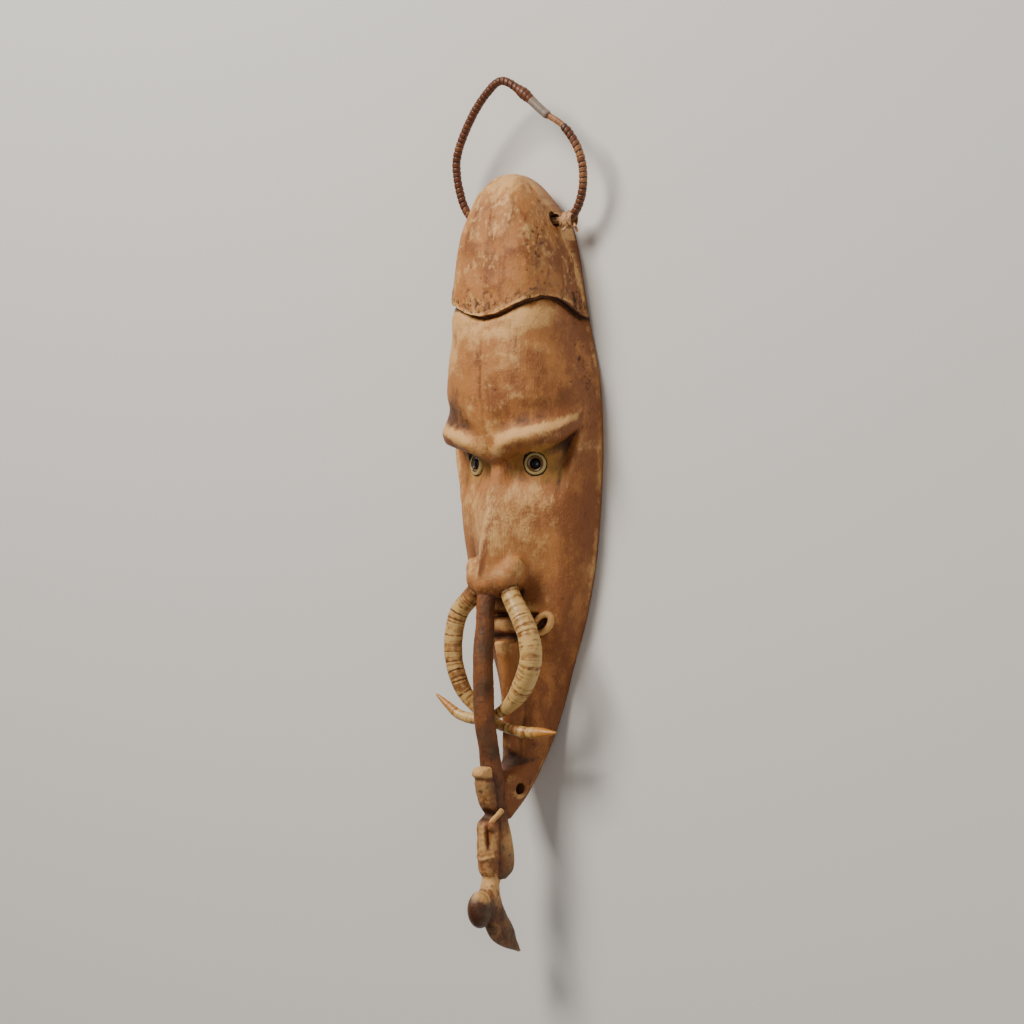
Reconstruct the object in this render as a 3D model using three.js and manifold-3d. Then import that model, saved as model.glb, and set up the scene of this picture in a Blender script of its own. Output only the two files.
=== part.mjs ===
import * as THREE from "three";
import { mergeVertices } from "three/addons/utils/BufferGeometryUtils.js";
import Module from "manifold-3d";

// All sizes are in millimetres. The mask lies on its back rim: Y runs up the face from the chin to
// the cap, X to the mask's own left and Z out of the face. Z is 0 on the flat of the back rim.

// The carved body.
const CAP_TOP_Y = 262;
const CHIN_TIP_Y = -256;
const CAP_TOP_Z = 34;
const CHIN_TIP_Z = 40;
const CAP_ROUND = 80;
const CHIN_LIFT = 109;
const RIM_GIRTH_Z = 5;
const RIM_TUCK = 2;
const RIM_LIFT_RUN = 36;
const RIM_DRAWN_IN = 14;
const RIM_DRAWN_FROM = 47;
const RIM_DRAWN_TO = 6;
const RIM_LEAST = 0.4;
const GIRTH_RISE = 0.75;
const GIRTH_RISE_RUN = 112;
const CHIN_ROUND = 26;
const CHIN_END_RISE = 2;
const CHIN_LIFT_POWER = 1.75;
const HALF_WIDTH = [[-256, 7], [-240, 11], [-198, 21.5], [-147, 33], [-96, 49.5], [-45, 60],
  [35, 66], [96, 63], [147, 52], [205, 41.5], [CAP_TOP_Y, 31]];
const CROWN_Z = [[-256, 46], [-240, 58], [-223, 56], [-208, 37], [-134, 36], [-98, 42],
  [-60, 40], [-25, 48], [20, 55], [50, 71], [85, 77], [146, 76], [200, 72], [CAP_TOP_Y, 70]];
const FULLNESS = [[-256, 2.2], [-200, 1.8], [-134, 1.6], [-98, 2.3], [60, 2.4], [128, 2.7],
  [150, 3.5], [CAP_TOP_Y, 3.4]];

// The cap's scalloped edge, and the step under it that fades away down the forehead.
const CAP_EDGE_Y = 146;
const SCALLOP = 16;
const CAP_PROUD = 5.5;
const CAP_SHADOW_RUN = 16;
const CAP_SHADOW_ROUND = 0.8;
const SIDE_CROWDING = 1.15;
const CAP_PULL = [60, 70];
const BROW_PULL = [92, 64];
const NOSE_PULL = [46, 12];

// The brows and the sockets, measured round the face at this radius.
const ROUND_FACE = 60;
const BROW_ROOT_Y = 34;
const BROW_RISE = 0.56;
const BROW_HEIGHT = 7.2;
const BROW_DIP = 2.2;
const BROW_WIDTH = 8;
const BROW_TIP = 71;
const BROW_TAPER = 0.85;
const BROW_SAG = 4.5;
const BROW_SIDE_RUN = 12;
const BROW_THIN_FROM = 26;
const BROW_THIN_TO = 56;
const BROW_MIDDLE_SHARE = 0.4;
const BROW_MIDDLE_RUN = 18;
const BROW_DROP = 7;
const BROW_DROP_MORE = 10.5;
const BROW_THICKEST = 32;
const BROW_THICK_RUN = 16;
const BROW_DIP_ABOVE = 19;
const BROW_DIP_WIDE = 9;
const SOCKET_DEPTH = 10;
const SOCKET_WALL = 64;
const SOCKET_WALL_SLOPE = 0.18;
const SOCKET_WALL_Y = 40;
const SOCKET_WALL_RUN = [-4, 2];
const SOCKET_TOP_RUN = [-3, 6];
const SOCKET_FLOOR = [10, 0.34];
const SOCKET_FOOT = [24, 0.6];
const SOCKET_INNER = [3, 16];

// The nose, from its ridge's height above the rim and its half-width.
const NOSE_RIDGE_Z = [[-84, 66], [-76, 76], [-58, 80], [-38, 75], [-19, 69], [26, 57], [40, 60]];
const NOSE_HALF = [[-84, 34], [-55, 37], [-25, 39], [0, 35], [34, 16]];
const NOSE_END_Y = -76;
const NOSE_END_SLOPE = 0.62;
const NOSE_END_REACH = 32;
const NOSE_END_FADE = 52;
const NOSE_END_RUN = [5, 3];
const NOSTRIL_SIDE = 14;
const NOSTRIL_SLOPE = 0.7;
const NOSE_ROOT_RUN = [26, 42];
const NOSE_FLANK_GAIN = 1.1;
const NOSE_RIDGE_ROUND = 0.1;
const NOSE_FLANK_POWER = 1.6;
const WING_X = 13.5;
const WING_Y = -61;
const WING_Z = 58;
const WING_SIZE = [10.5, 18, 11.5];
const WING_TURN = -0.62;
const TIP_Y = -64.5;
const TIP_Z = 67.5;
const TIP_SIZE = [13.5, 14, 12.5];

// The mouth and chin.
const SLIT_Y = -92;
const LIP_Y = -100.5;
const LIP_HALF_TALL = 6.5;
const LIP_PROUD = 5;
const LIP_HALF_LONG = 29;
const LIP_END_RUN = 4;
const SLIT_DEPTH = 5;
const SLIT_HALF_TALL = 2.6;
const LIP_GROOVE_DEPTH = 2.5;
const LIP_GROOVE_HALF = 2.2;
const LIP_GROOVE_BELOW = 2;
const CORNER_X = 30;
const CORNER_Y = -99;
const CORNER_Z = 35.8;
const CORNER_HALF_WIDE = 5.6;
const CORNER_HALF_TALL = 9;
const CORNER_THICK = 2.9;
const CORNER_WALL = 2.8;
const CORNER_HOLLOW_DEPTH = 7;
const CORNER_TILT = 0.7;
const CORNER_LEAN = 0.62;
const CHIN_COLUMN_TOP = -111;
const CHIN_COLUMN_FOOT = -206;
const CHIN_COLUMN_PROUD = 10.5;
const CHIN_COLUMN_HALF = 12.5;
const CHIN_COLUMN_TOP_RUN = 4;
const CHIN_COLUMN_FOOT_RUN = 10;
const CHIN_COLUMN_TAPER = 0.6;
const CHIN_COLUMN_EDGE = [0.5, 1.35];

// The hollow back and the walls.
const SIDE_WALL = 9;
const FRONT_WALL = 20;
const HOLLOW_BELOW_TOP = 18;
const HOLLOW_TOP_Y = CAP_TOP_Y - HOLLOW_BELOW_TOP;
const HOLLOW_FOOT_Y = -176;
const HOLLOW_LEAST = 0.6;
const HOLLOW_POWER = 0.7;
const HOLLOW_END_POWER = 8;
const CHIN_HOLE_Y = -231;
const CHIN_HOLE_Z = 41;
const CHIN_HOLE_RADIUS = 4.6;
const CHIN_HOLE_LONG = 60;

// The trunk and the bird on its end: [y, z of the middle, half-width, half-depth].
const TRUNK = [[-66, 66, 7, 6], [-76, 69, 7.4, 7.2], [-97, 71.2, 7.4, 7.4], [-125, 74, 8, 8],
  [-150, 73.4, 8.2, 8.2], [-176, 71.4, 8.2, 8.2], [-204, 65, 8.2, 8.4], [-228, 61, 9, 10],
  [-246, 58, 7, 9]];
const TAIL = [[-212.5, 72.5, 5, 6], [-214, 74, 6.4, 7.8], [-219, 74.6, 6.8, 8.2], [-221.5, 72.5, 6.2, 7.4],
  [-226, 71, 7.2, 8.6], [-240, 67, 7, 8.2], [-250, 62, 5.5, 6], [-257, 60, 4, 4]];
const BIRD = [[-244, 55, 4, 4], [-252, 62, 7.4, 7], [-258, 67, 9, 9.4], [-270, 67, 9.4, 9.6],
  [-285, 66, 9, 9.6], [-296, 64.5, 8.4, 9.6], [-301, 63, 7.4, 8], [-308, 65, 7.4, 8.4],
  [-318, 66, 8.4, 11], [-330, 60, 8.4, 12], [-343, 52, 7.2, 15], [-352, 46, 5.6, 14],
  [-358, 38, 4, 9.5], [-362.6, 28, 1.6, 2.4]];
const CREST_Y = -325.5;
const CREST_Z = 77.4;
const CREST_SIZE = [9.5, 15, 11.5];
const BIRD_WING = [[-246, 56, 1.5, 2.4], [-256, 57, 3, 6], [-270, 55.5, 4.2, 9], [-286, 54, 4.6, 10.5],
  [-296, 55, 4.4, 9.6], [-302, 59, 3, 5]];
const BIRD_WING_X = 6.8;

// The tusks: [x, y, z, radius], from the root in the nostril to the tip. X is away from the nostril's side.
const LEFT_TUSK = [[13, -66, 60, 7.6], [19, -78, 60.8, 8], [29.2, -93, 62, 8.6], [37.4, -108, 63, 9],
  [39.8, -126, 63, 9.2], [30.4, -147, 61, 8.8], [17, -162, 59.4, 6.6], [0, -171.6, 58.6, 4.4],
  [-15, -175.2, 61.6, 4.7], [-33, -172, 63, 4.4], [-43.4, -165, 64, 3.4], [-54.5, -156.6, 65, 1.2]];
const RIGHT_TUSK = [[13, -66, 60, 7.4], [21, -77, 62, 7.8], [33, -90, 63, 7.9], [38, -110, 64, 7.8],
  [37.6, -128, 64, 7.6], [34, -144, 62, 7.2], [29, -157, 58, 6.4], [15, -173.4, 50.8, 5],
  [0, -180.4, 50.6, 4.4], [-22, -185, 49.6, 5], [-40, -185, 49.6, 4.4], [-54.5, -184.4, 50, 1.2]];
const FIT_GAP = 0.35;

// The eyes.
const EYE_X = 30;
const EYE_Y = 29;
const EYE_Z = 44.5;
const EYE_TURN = 0.4;
const EYE_RADIUS = 9;
const EYE_THICK = 4;
const EYE_BORE = 4;
const EYE_SUNK = 2.6;
const EYE_BEVEL = 1;
const EYE_LIP = 2.4;
const EYE_BORE_DIP = 1.4;
const PUPIL_GAP = 0.3;
const PUPIL_SHOULDER = 1.6;
const PUPIL_PROUD = 0.5;
const SEAT_GAP = 0.3;
const SEAT_LONG = 16;

// The handle: its holes through the cap, the hoop [x, height above the holes] and how it leans out
// of the face.
const HOLE_BELOW_TOP = 38;
const HOLE_Y = CAP_TOP_Y - HOLE_BELOW_TOP;
const HOLE_Z = 20;
const HOLE_RADIUS = 5.4;
const HOLE_MIDDLE_X = 34;
const HOLE_LONG = 40;
const TIE_RADIUS = 3.8;
const TIE_KNOT = [8.4, 8.2, 7.4];
const TIE_STOP = 6.6;
const HOOP = [[54.3, 8.5], [63, 28], [62.5, 52], [50, 73], [32.4, 85], [8, 105.6],
  [-8, 112.8], [-27, 101.6], [-50.5, 75], [-63, 51], [-61.7, 21], [-56, 8.5]];
const HOOP_LEAN = 0.18;
const HOOP_RADIUS = 3.5;
const KNOT_SEAT = 0.6;

// How finely the pieces are divided: sections along them, then sides round them.
const BODY_STEPS = [26, 6];
const TRUNK_STEPS = [11, 10];
const TAIL_STEPS = [9, 10];
const BIRD_STEPS = [18, 10];
const BIRD_WING_STEPS = [5, 8];
const TUSK_STEPS = [20, 8];
const HOOP_STEPS = [36, 7];
const BALL_STEPS = [10, 7];
const SMALL_BALL_STEPS = [8, 6];
const KNOT_STEPS = [9, 7];
const RING_STEPS = [5, 10];
const HOLE_SIDES = 10;
const NECK_SIDES = 8;
const TIP_INSET = 0.6;
const CAP_INSET = 0.4;
const END_ZONE = 3;
const EDGE_STEP = 1.2;
const LEAST_STEP = 0.3;
const SHELL_SIDES = 14;
const PUPIL_SIDES = 12;

// What each piece looks like.
const CARVED_WOOD = { color: 0xa9693c, roughness: 0.72, metalness: 0 };
const TUSK = { color: 0xcaa566, roughness: 0.42, metalness: 0 };
const SHELL = { color: 0xd8c88e, roughness: 0.35, metalness: 0 };
const DARK_GUM = { color: 0x15100c, roughness: 0.25, metalness: 0 };
const WOUND_CANE = { color: 0x6b3a20, roughness: 0.6, metalness: 0 };
const SPLIT_CANE = { color: 0xb98b5a, roughness: 0.75, metalness: 0 };

const { Manifold, Mesh } = await Module().then((wasm) => {
  wasm.setup();
  return wasm;
});

const clamp = (t) => Math.min(1, Math.max(0, t));

// A smooth step from 0 at a to 1 at b.
function ease(a, b, x) {
  const t = clamp((x - a) / (b - a));
  return t * t * (3 - 2 * t);
}

const bell = (x) => Math.exp(-x * x);

// A smooth curve through named stations [y, value, ...], read at y for one of the values.
function along(stations, y, column = 1) {
  const rows = stations[0][0] < stations[stations.length - 1][0] ? stations : [...stations].reverse();
  const last = rows.length - 1;
  if (y <= rows[0][0]) return rows[0][column];
  if (y >= rows[last][0]) return rows[last][column];
  const i = rows.findIndex((row) => row[0] > y) - 1;
  const slope = (a, b) => (rows[b][column] - rows[a][column]) / (rows[b][0] - rows[a][0]);
  const step = rows[i + 1][0] - rows[i][0];
  const start = slope(Math.max(0, i - 1), i + 1) * step;
  const end = slope(i, Math.min(last, i + 2)) * step;
  const t = (y - rows[i][0]) / step;
  const rise = rows[i + 1][column] - rows[i][column];
  return rows[i][column] + t * (start + t * (3 * rise - 2 * start - end + t * (start + end - 2 * rise)));
}

// How far the end of the cap (1 at its start, 0 at the tip) and of the chin have drawn in.
const capRound = (y) => (1 - clamp((y - CAP_TOP_Y + CAP_ROUND) / CAP_ROUND) ** 2.6) ** (1 / 2.2);
const chinRound = (y) => (1 - clamp((CHIN_TIP_Y + CHIN_ROUND - y) / CHIN_ROUND) ** 2) ** 0.5;
const chinLift = (y) => CHIN_TIP_Z * clamp((CHIN_TIP_Y + CHIN_LIFT - y) / CHIN_LIFT) ** CHIN_LIFT_POWER;

const halfWidth = (y) => along(HALF_WIDTH, y) * capRound(y) * chinRound(y);

// Height of the back rim, which lifts off the flat at the cap's tip and along the chin.
function rimZ(y) {
  const share = clamp((y - CAP_TOP_Y + RIM_LIFT_RUN) / RIM_LIFT_RUN);
  const top = CAP_TOP_Z * (1 - Math.sqrt(1 - share ** 2));
  return top + chinLift(y);
}

// Height at which the carving is widest.
function girthZ(y) {
  const top = CAP_TOP_Z * ease(CAP_TOP_Y - GIRTH_RISE_RUN, CAP_TOP_Y, y) * GIRTH_RISE;
  const z = rimZ(y) + RIM_GIRTH_Z + top;
  return Math.min(z, crownZ(y) - 0.5 * (crownZ(y) - rimZ(y)));
}

// Height of the middle of the plain form.
function crownZ(y) {
  const cap = CAP_TOP_Z + (along(CROWN_Z, y) - CAP_TOP_Z) * capRound(y);
  return y > 0 ? cap : CHIN_TIP_Z + (along(CROWN_Z, y) - CHIN_TIP_Z) * chinRound(y);
}

// How far the brow has risen this far from the middle: a straight rise that sags between its ends.
function browClimb(across) {
  const share = clamp(across / BROW_TIP);
  return BROW_RISE * Math.min(across, BROW_TIP) - 4 * BROW_SAG * share * (1 - share);
}

// Height of the brow, socket and cap's edge above the plain form, along the radius at angle turn.
function radialRelief(turn, y, edge) {
  const across = Math.abs(turn) * ROUND_FACE;
  const below = BROW_ROOT_Y + browClimb(across) - y;
  const taper = 1 - BROW_TAPER * ease(BROW_THIN_FROM, BROW_THIN_TO, across);
  const middle = BROW_MIDDLE_SHARE + (1 - BROW_MIDDLE_SHARE) * ease(0, BROW_MIDDLE_RUN, across);
  const browReach = taper * (1 - ease(BROW_TIP - BROW_SIDE_RUN, BROW_TIP, across)) * middle;
  const drop = BROW_DROP + BROW_DROP_MORE * bell((across - BROW_THICKEST) / BROW_THICK_RUN);
  const roll = below > 0 ? Math.sqrt(clamp(1 - (below / drop) ** 2)) : bell(below / BROW_WIDTH);
  const dip = BROW_DIP * bell((below + BROW_DIP_ABOVE) / BROW_DIP_WIDE);
  const brow = browReach * (BROW_HEIGHT * roll - dip);
  const [floor, foot] = [SOCKET_FLOOR, SOCKET_FOOT].map(([start, slope]) => start + slope * across);
  const sink = ease(drop + SOCKET_TOP_RUN[0], drop + SOCKET_TOP_RUN[1], below) *
    (1 - ease(floor, foot, below));
  const wall = SOCKET_WALL + SOCKET_WALL_SLOPE * (y - SOCKET_WALL_Y);
  const outer = 1 - ease(wall + SOCKET_WALL_RUN[0], wall + SOCKET_WALL_RUN[1], across);
  const socket = SOCKET_DEPTH * sink * ease(SOCKET_INNER[0], SOCKET_INNER[1], across) * outer;
  const shadow = y < edge ? CAP_PROUD * Math.exp((y - edge) / CAP_SHADOW_RUN) : 0;
  return brow - socket - shadow * (1 - CAP_SHADOW_ROUND * Math.abs(turn / (Math.PI / 2)) ** 6);
}

// Height of the nose, mouth and chin column above the plain form, straight out along Z.
function frontRelief(x, y) {
  const side = Math.abs(x);
  const share = side / along(NOSE_HALF, y);
  const fall = (NOSE_FLANK_GAIN * share ** 2) / (share + NOSE_RIDGE_ROUND);
  const flank = (1 - clamp(fall)) ** NOSE_FLANK_POWER;
  const end = NOSE_END_Y + NOSE_END_SLOPE * side;
  const nostril = NOSTRIL_SLOPE * Math.max(0, side - NOSTRIL_SIDE);
  const cut = ease(end - NOSE_END_RUN[0] - nostril, end + NOSE_END_RUN[1], y) *
    (1 - ease(NOSE_ROOT_RUN[0], NOSE_ROOT_RUN[1], y));
  const nose = (along(NOSE_RIDGE_Z, y) - crownZ(y)) * flank * cut;
  const tall = Math.sqrt(Math.max(0, 1 - ((y - LIP_Y) / LIP_HALF_TALL) ** 2));
  const lipLong = 1 - ease(LIP_HALF_LONG - LIP_END_RUN, LIP_HALF_LONG, side);
  const grooveY = LIP_Y - LIP_HALF_TALL - LIP_GROOVE_BELOW;
  const slit = SLIT_DEPTH * bell((y - SLIT_Y) / SLIT_HALF_TALL) +
    LIP_GROOVE_DEPTH * bell((y - grooveY) / LIP_GROOVE_HALF);
  const column = ease(CHIN_COLUMN_TOP, CHIN_COLUMN_TOP - CHIN_COLUMN_TOP_RUN, y) *
    ease(CHIN_COLUMN_FOOT, CHIN_COLUMN_FOOT + CHIN_COLUMN_FOOT_RUN, y);
  const taper = 1 - CHIN_COLUMN_TAPER * ease(CHIN_COLUMN_TOP, CHIN_COLUMN_FOOT, y);
  const aside = side / (CHIN_COLUMN_HALF * taper);
  const chin = CHIN_COLUMN_PROUD * column * (1 - ease(CHIN_COLUMN_EDGE[0], CHIN_COLUMN_EDGE[1], aside));
  return nose + (LIP_PROUD * tall - slit) * lipLong + chin;
}

// Half-width of the narrow back rim, and of the hollow between its inner edges.
function rimHalf(y) {
  const drawn = RIM_DRAWN_IN * ease(CAP_TOP_Y - RIM_DRAWN_FROM, CAP_TOP_Y - RIM_DRAWN_TO, y) * capRound(y);
  return Math.max(halfWidth(y) - RIM_TUCK - drawn, RIM_LEAST * halfWidth(y));
}
const hollowHalf = (y) => Math.max(rimHalf(y) - SIDE_WALL, HOLLOW_LEAST * rimHalf(y));

function hollowRoof(y) {
  const middle = (HOLLOW_TOP_Y + HOLLOW_FOOT_Y) / 2;
  const run = clamp(Math.abs(y - middle) / (HOLLOW_TOP_Y - middle));
  return Math.max(0, crownZ(y) - FRONT_WALL - rimZ(y)) * (1 - run ** HOLLOW_END_POWER) ** 0.5;
}

// Where the outside and the hollow's side stand at height z on the grid line y.
function outsideX(y, z) {
  const base = girthZ(y);
  const n = along(FULLNESS, y);
  return halfWidth(y) * (1 - clamp((z - base) / (crownZ(y) - base)) ** n) ** (1 / n);
}
const hollowX = (y, z) =>
  hollowHalf(y) * (1 - clamp((z - rimZ(y)) / hollowRoof(y)) ** (2 / HOLLOW_POWER)) ** (HOLLOW_POWER / 2);

// How much a grid line at y is pulled onto a feature at its own height: all of it there, and less and
// less over the length above and below.
const pulled = (at, [above, below], y) => ease(at - below, at, y) * (1 - ease(at, at + above, y));

// One closed ring of the body for the grid line y0: up over the front, then back along the hollow.
function bodyRing(y0, frontCount, backCount) {
  const ring = [];
  for (let j = 0; j <= frontCount; j += 1) {
    const s = (2 * j) / frontCount - 1;
    const turn = (Math.sign(s) * Math.abs(s) ** SIDE_CROWDING * Math.PI) / 2;
    const edge = CAP_EDGE_Y + SCALLOP * Math.sin(Math.PI * Math.abs(s) ** SIDE_CROWDING) ** 2;
    const capPull = pulled(CAP_EDGE_Y, CAP_PULL, y0);
    const across = Math.abs(turn) * ROUND_FACE;
    const browPull = pulled(BROW_ROOT_Y, BROW_PULL, y0);
    const nosePull = pulled(NOSE_END_Y, NOSE_PULL, y0);
    const sideX = Math.abs(Math.sin(turn)) * halfWidth(y0);
    const reachX = Math.min(sideX, NOSE_END_REACH) * (1 - ease(NOSE_END_REACH, NOSE_END_FADE, sideX));
    const nose = NOSE_END_SLOPE * reachX * nosePull;
    const y = y0 + (edge - CAP_EDGE_Y) * capPull + nose + browClimb(across) * browPull;
    const a = halfWidth(y);
    const base = girthZ(y);
    const b = crownZ(y) - base;
    const n = along(FULLNESS, y);
    const reach = ((Math.abs(Math.sin(turn)) / a) ** n + (Math.cos(turn) / b) ** n) ** (-1 / n);
    const x = reach * Math.sin(turn);
    const z = base + reach * Math.cos(turn);
    const relief = radialRelief(Math.atan2(x, z), y, y0 < CAP_EDGE_Y ? edge : y);
    ring.push([x + relief * Math.sin(turn), y, z + relief * Math.cos(turn) + frontRelief(x, y)]);
  }
  const tuck = (side) => {
    const t = Math.PI / 4;
    const a = halfWidth(y0) - rimHalf(y0);
    return [side * (rimHalf(y0) + a * Math.cos(t)), y0, girthZ(y0) - (girthZ(y0) - rimZ(y0)) * Math.sin(t)];
  };
  ring.push(tuck(1), [rimHalf(y0), y0, rimZ(y0)]);
  for (let j = 0; j <= backCount; j += 1) {
    const c = Math.cos((j / backCount) * Math.PI);
    const s = Math.sin((j / backCount) * Math.PI);
    const x = hollowHalf(y0) * Math.sign(c) * Math.abs(c) ** HOLLOW_POWER;
    ring.push([x, y0, rimZ(y0) + hollowRoof(y0) * s ** HOLLOW_POWER]);
  }
  ring.push([-rimHalf(y0), y0, rimZ(y0)], tuck(-1));
  return ring;
}

// A closed surface through a row of rings with equal counts, with a point added at each end. Each
// four-sided patch is split along its shorter diagonal.
function loft(rings, first, last) {
  const count = rings[0].length;
  const points = [...rings.flat(), first, last];
  const faces = [];
  for (let i = 0; i + 1 < rings.length; i += 1) {
    for (let j = 0; j < count; j += 1) {
      const a = i * count + j;
      const b = i * count + ((j + 1) % count);
      const gap = (p, q) => Math.hypot(...points[p].map((v, k) => v - points[q][k]));
      if (gap(a, b + count) <= gap(b, a + count)) faces.push(a, b, b + count, a, b + count, a + count);
      else faces.push(a, b, a + count, b, b + count, a + count);
    }
  }
  const end = (rings.length - 1) * count;
  for (let j = 0; j < count; j += 1) {
    const k = (j + 1) % count;
    faces.push(points.length - 2, k, j, points.length - 1, end + j, end + k);
  }
  const geometry = new THREE.BufferGeometry();
  geometry.setAttribute("position", new THREE.Float32BufferAttribute(points.flat(), 3));
  geometry.setIndex(faces);
  return geometry;
}

// The same surface as a solid that can be joined and cut.
function solid(geometry) {
  const bare = new THREE.BufferGeometry();
  bare.setAttribute("position", geometry.getAttribute("position"));
  bare.setIndex(geometry.index);
  const merged = mergeVertices(bare, 1e-3);
  const made = new Manifold(new Mesh({
    numProp: 3,
    vertProperties: merged.attributes.position.array,
    triVerts: new Uint32Array(merged.index.array),
  }));
  return made;
}

function geometryOf(made) {
  const mesh = made.getMesh();
  const geometry = new THREE.BufferGeometry();
  geometry.setAttribute("position", new THREE.BufferAttribute(mesh.vertProperties, 3));
  geometry.setIndex(new THREE.BufferAttribute(mesh.triVerts, 1));
  const flat = geometry.toNonIndexed();
  flat.computeVertexNormals();
  return flat;
}

// An upright carving along Y from stations [y, z of the middle, half-width, half-depth].
function upright(stations, sections, sides, middleX = 0) {
  const top = stations[0];
  const foot = stations[stations.length - 1];
  const rings = [];
  for (let i = 0; i <= sections; i += 1) {
    const y = top[0] + ((foot[0] - top[0]) * i) / sections;
    const ring = [];
    for (let j = 0; j < sides; j += 1) {
      const turn = (-j / sides) * 2 * Math.PI;
      ring.push([
        middleX + along(stations, y, 2) * Math.sin(turn),
        y,
        along(stations, y, 1) + along(stations, y, 3) * Math.cos(turn),
      ]);
    }
    rings.push(ring);
  }
  return solid(loft(rings, [middleX, top[0] + 1, top[1]], [middleX, foot[0] - 1, foot[1]]));
}

// A round bar that follows points [x, y, z, radius], with its radius let out by extra.
function bar(stations, sections, sides, extra = 0) {
  const path = new THREE.CatmullRomCurve3(stations.map(([x, y, z]) => new THREE.Vector3(x, y, z)));
  const radii = new THREE.CatmullRomCurve3(stations.map(([, , , r], i) => new THREE.Vector3(i, r, 0)));
  const out = new THREE.Vector3(0, 0, 1);
  const rings = [];
  for (let i = 0; i <= sections; i += 1) {
    const t = i / sections;
    const at = path.getPoint(t);
    const across = path.getTangent(t).cross(out).normalize();
    const up = across.clone().cross(path.getTangent(t)).normalize();
    const radius = radii.getPoint(t).y + extra;
    const ring = [];
    for (let j = 0; j < sides; j += 1) {
      const turn = (j / sides) * 2 * Math.PI;
      const spot = at.clone().addScaledVector(across, radius * Math.sin(turn));
      ring.push(spot.addScaledVector(up, radius * Math.cos(turn)).toArray());
    }
    rings.push(ring);
  }
  const first = path.getPoint(0).addScaledVector(path.getTangent(0), -1 - extra).toArray();
  const last = path.getPoint(1).addScaledVector(path.getTangent(1), 1 + extra).toArray();
  return loft(rings, first, last);
}

// The same surface seen in a mirror that stands on the middle line of the face.
function mirrored(geometry) {
  const copy = geometry.clone().scale(-1, 1, 1);
  const order = Array.from(copy.index.array);
  for (let i = 0; i + 2 < order.length; i += 3) {
    [order[i + 1], order[i + 2]] = [order[i + 2], order[i + 1]];
  }
  return copy.setIndex(order);
}

// Grid lines up the face: close where the carving is fine, wide elsewhere.
function gridLines() {
  const lines = [];
  const zones = [
    [CHIN_TIP_Y + TIP_INSET, CHIN_TIP_Y + END_ZONE, 1],
    [CHIN_TIP_Y + END_ZONE, CHIN_COLUMN_FOOT + 2, 6],
    [CHIN_COLUMN_FOOT + 2, CHIN_COLUMN_TOP - 3, 5],
    [CHIN_COLUMN_TOP - 3, SLIT_Y + 4, 6],
    [SLIT_Y + 4, NOSE_END_Y, 2],
    [NOSE_END_Y, NOSE_END_Y + NOSE_PULL[0], 6],
    [NOSE_END_Y + NOSE_PULL[0], BROW_ROOT_Y - 24, 4],
    [BROW_ROOT_Y - 24, BROW_ROOT_Y - 8, 3],
    [BROW_ROOT_Y - 8, BROW_ROOT_Y + 8, 5],
    [BROW_ROOT_Y + 8, BROW_ROOT_Y + 26, 3],
    [BROW_ROOT_Y + 26, CAP_EDGE_Y - 14, 5],
    [CAP_EDGE_Y - 14, CAP_EDGE_Y - EDGE_STEP, 1],
    [CAP_EDGE_Y, HOLE_Y, 3],
    [HOLE_Y, CAP_TOP_Y - END_ZONE, 4],
    [CAP_TOP_Y - END_ZONE, CAP_TOP_Y - CAP_INSET, 1],
  ];
  for (const [from, to, steps] of zones) {
    for (let i = 0; i < steps; i += 1) lines.push(from + ((to - from) * i) / steps);
  }
  lines.push(CAP_EDGE_Y - EDGE_STEP, CAP_TOP_Y - CAP_INSET);
  lines.sort((a, b) => a - b);
  return lines.filter((y, i) => i === 0 || y - lines[i - 1] > LEAST_STEP);
}

// An eye's own axis stands out of the socket and leans away from the nose.
function eyePlace(side) {
  const move = new THREE.Matrix4().makeTranslation(side * EYE_X, EYE_Y, EYE_Z);
  const lean = new THREE.Matrix4().makeRotationY(side * EYE_TURN);
  return move.multiply(lean).multiply(new THREE.Matrix4().makeRotationX(Math.PI / 2));
}

// A turned piece from a closed profile [radius, height], standing on the eye's own axis.
function turned(profile, sides, place) {
  const points = profile.map(([r, h]) => new THREE.Vector2(r, h));
  const geometry = new THREE.LatheGeometry([...points, points[0]], sides);
  return solid(geometry.applyMatrix4(place));
}

const rings = gridLines().map((y) => bodyRing(y, ...BODY_STEPS));
const body = solid(loft(rings, [0, CHIN_TIP_Y, CHIN_TIP_Z + CHIN_END_RISE], [0, CAP_TOP_Y, CAP_TOP_Z]));

const ball = (size, steps) => new THREE.SphereGeometry(1, ...steps).scale(...size);
const crest = solid(ball(CREST_SIZE, BALL_STEPS).translate(0, CREST_Y, CREST_Z));
const noseTip = solid(ball(TIP_SIZE, BALL_STEPS).translate(0, TIP_Y, TIP_Z));
const noseWing = (side) => solid(ball(WING_SIZE, BALL_STEPS).rotateZ(side * WING_TURN)
  .translate(side * WING_X, WING_Y, WING_Z));

// The curled corner of the mouth is an oval ring that lies on the slope of the cheek, round a hollow.
const onCheek = (geometry, side) => solid(geometry.rotateZ(-side * CORNER_TILT)
  .rotateY(side * CORNER_LEAN).translate(side * CORNER_X, CORNER_Y, CORNER_Z));
const cornerRing = (side) => {
  const ring = new THREE.TorusGeometry(CORNER_HALF_TALL, CORNER_THICK, ...RING_STEPS);
  return onCheek(ring.scale(CORNER_HALF_WIDE / CORNER_HALF_TALL, 1, 1), side);
};
const CORNER_HOLLOW = [CORNER_HALF_WIDE - CORNER_WALL, CORNER_HALF_TALL - CORNER_WALL, CORNER_HOLLOW_DEPTH];
const cornerHollow = (side) => onCheek(ball(CORNER_HOLLOW, SMALL_BALL_STEPS), side);

const tusks = (extra) => [
  solid(bar(LEFT_TUSK, ...TUSK_STEPS, extra)),
  solid(mirrored(bar(RIGHT_TUSK, ...TUSK_STEPS, extra))),
];
const [leftTusk, rightTusk] = tusks(0);

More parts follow.
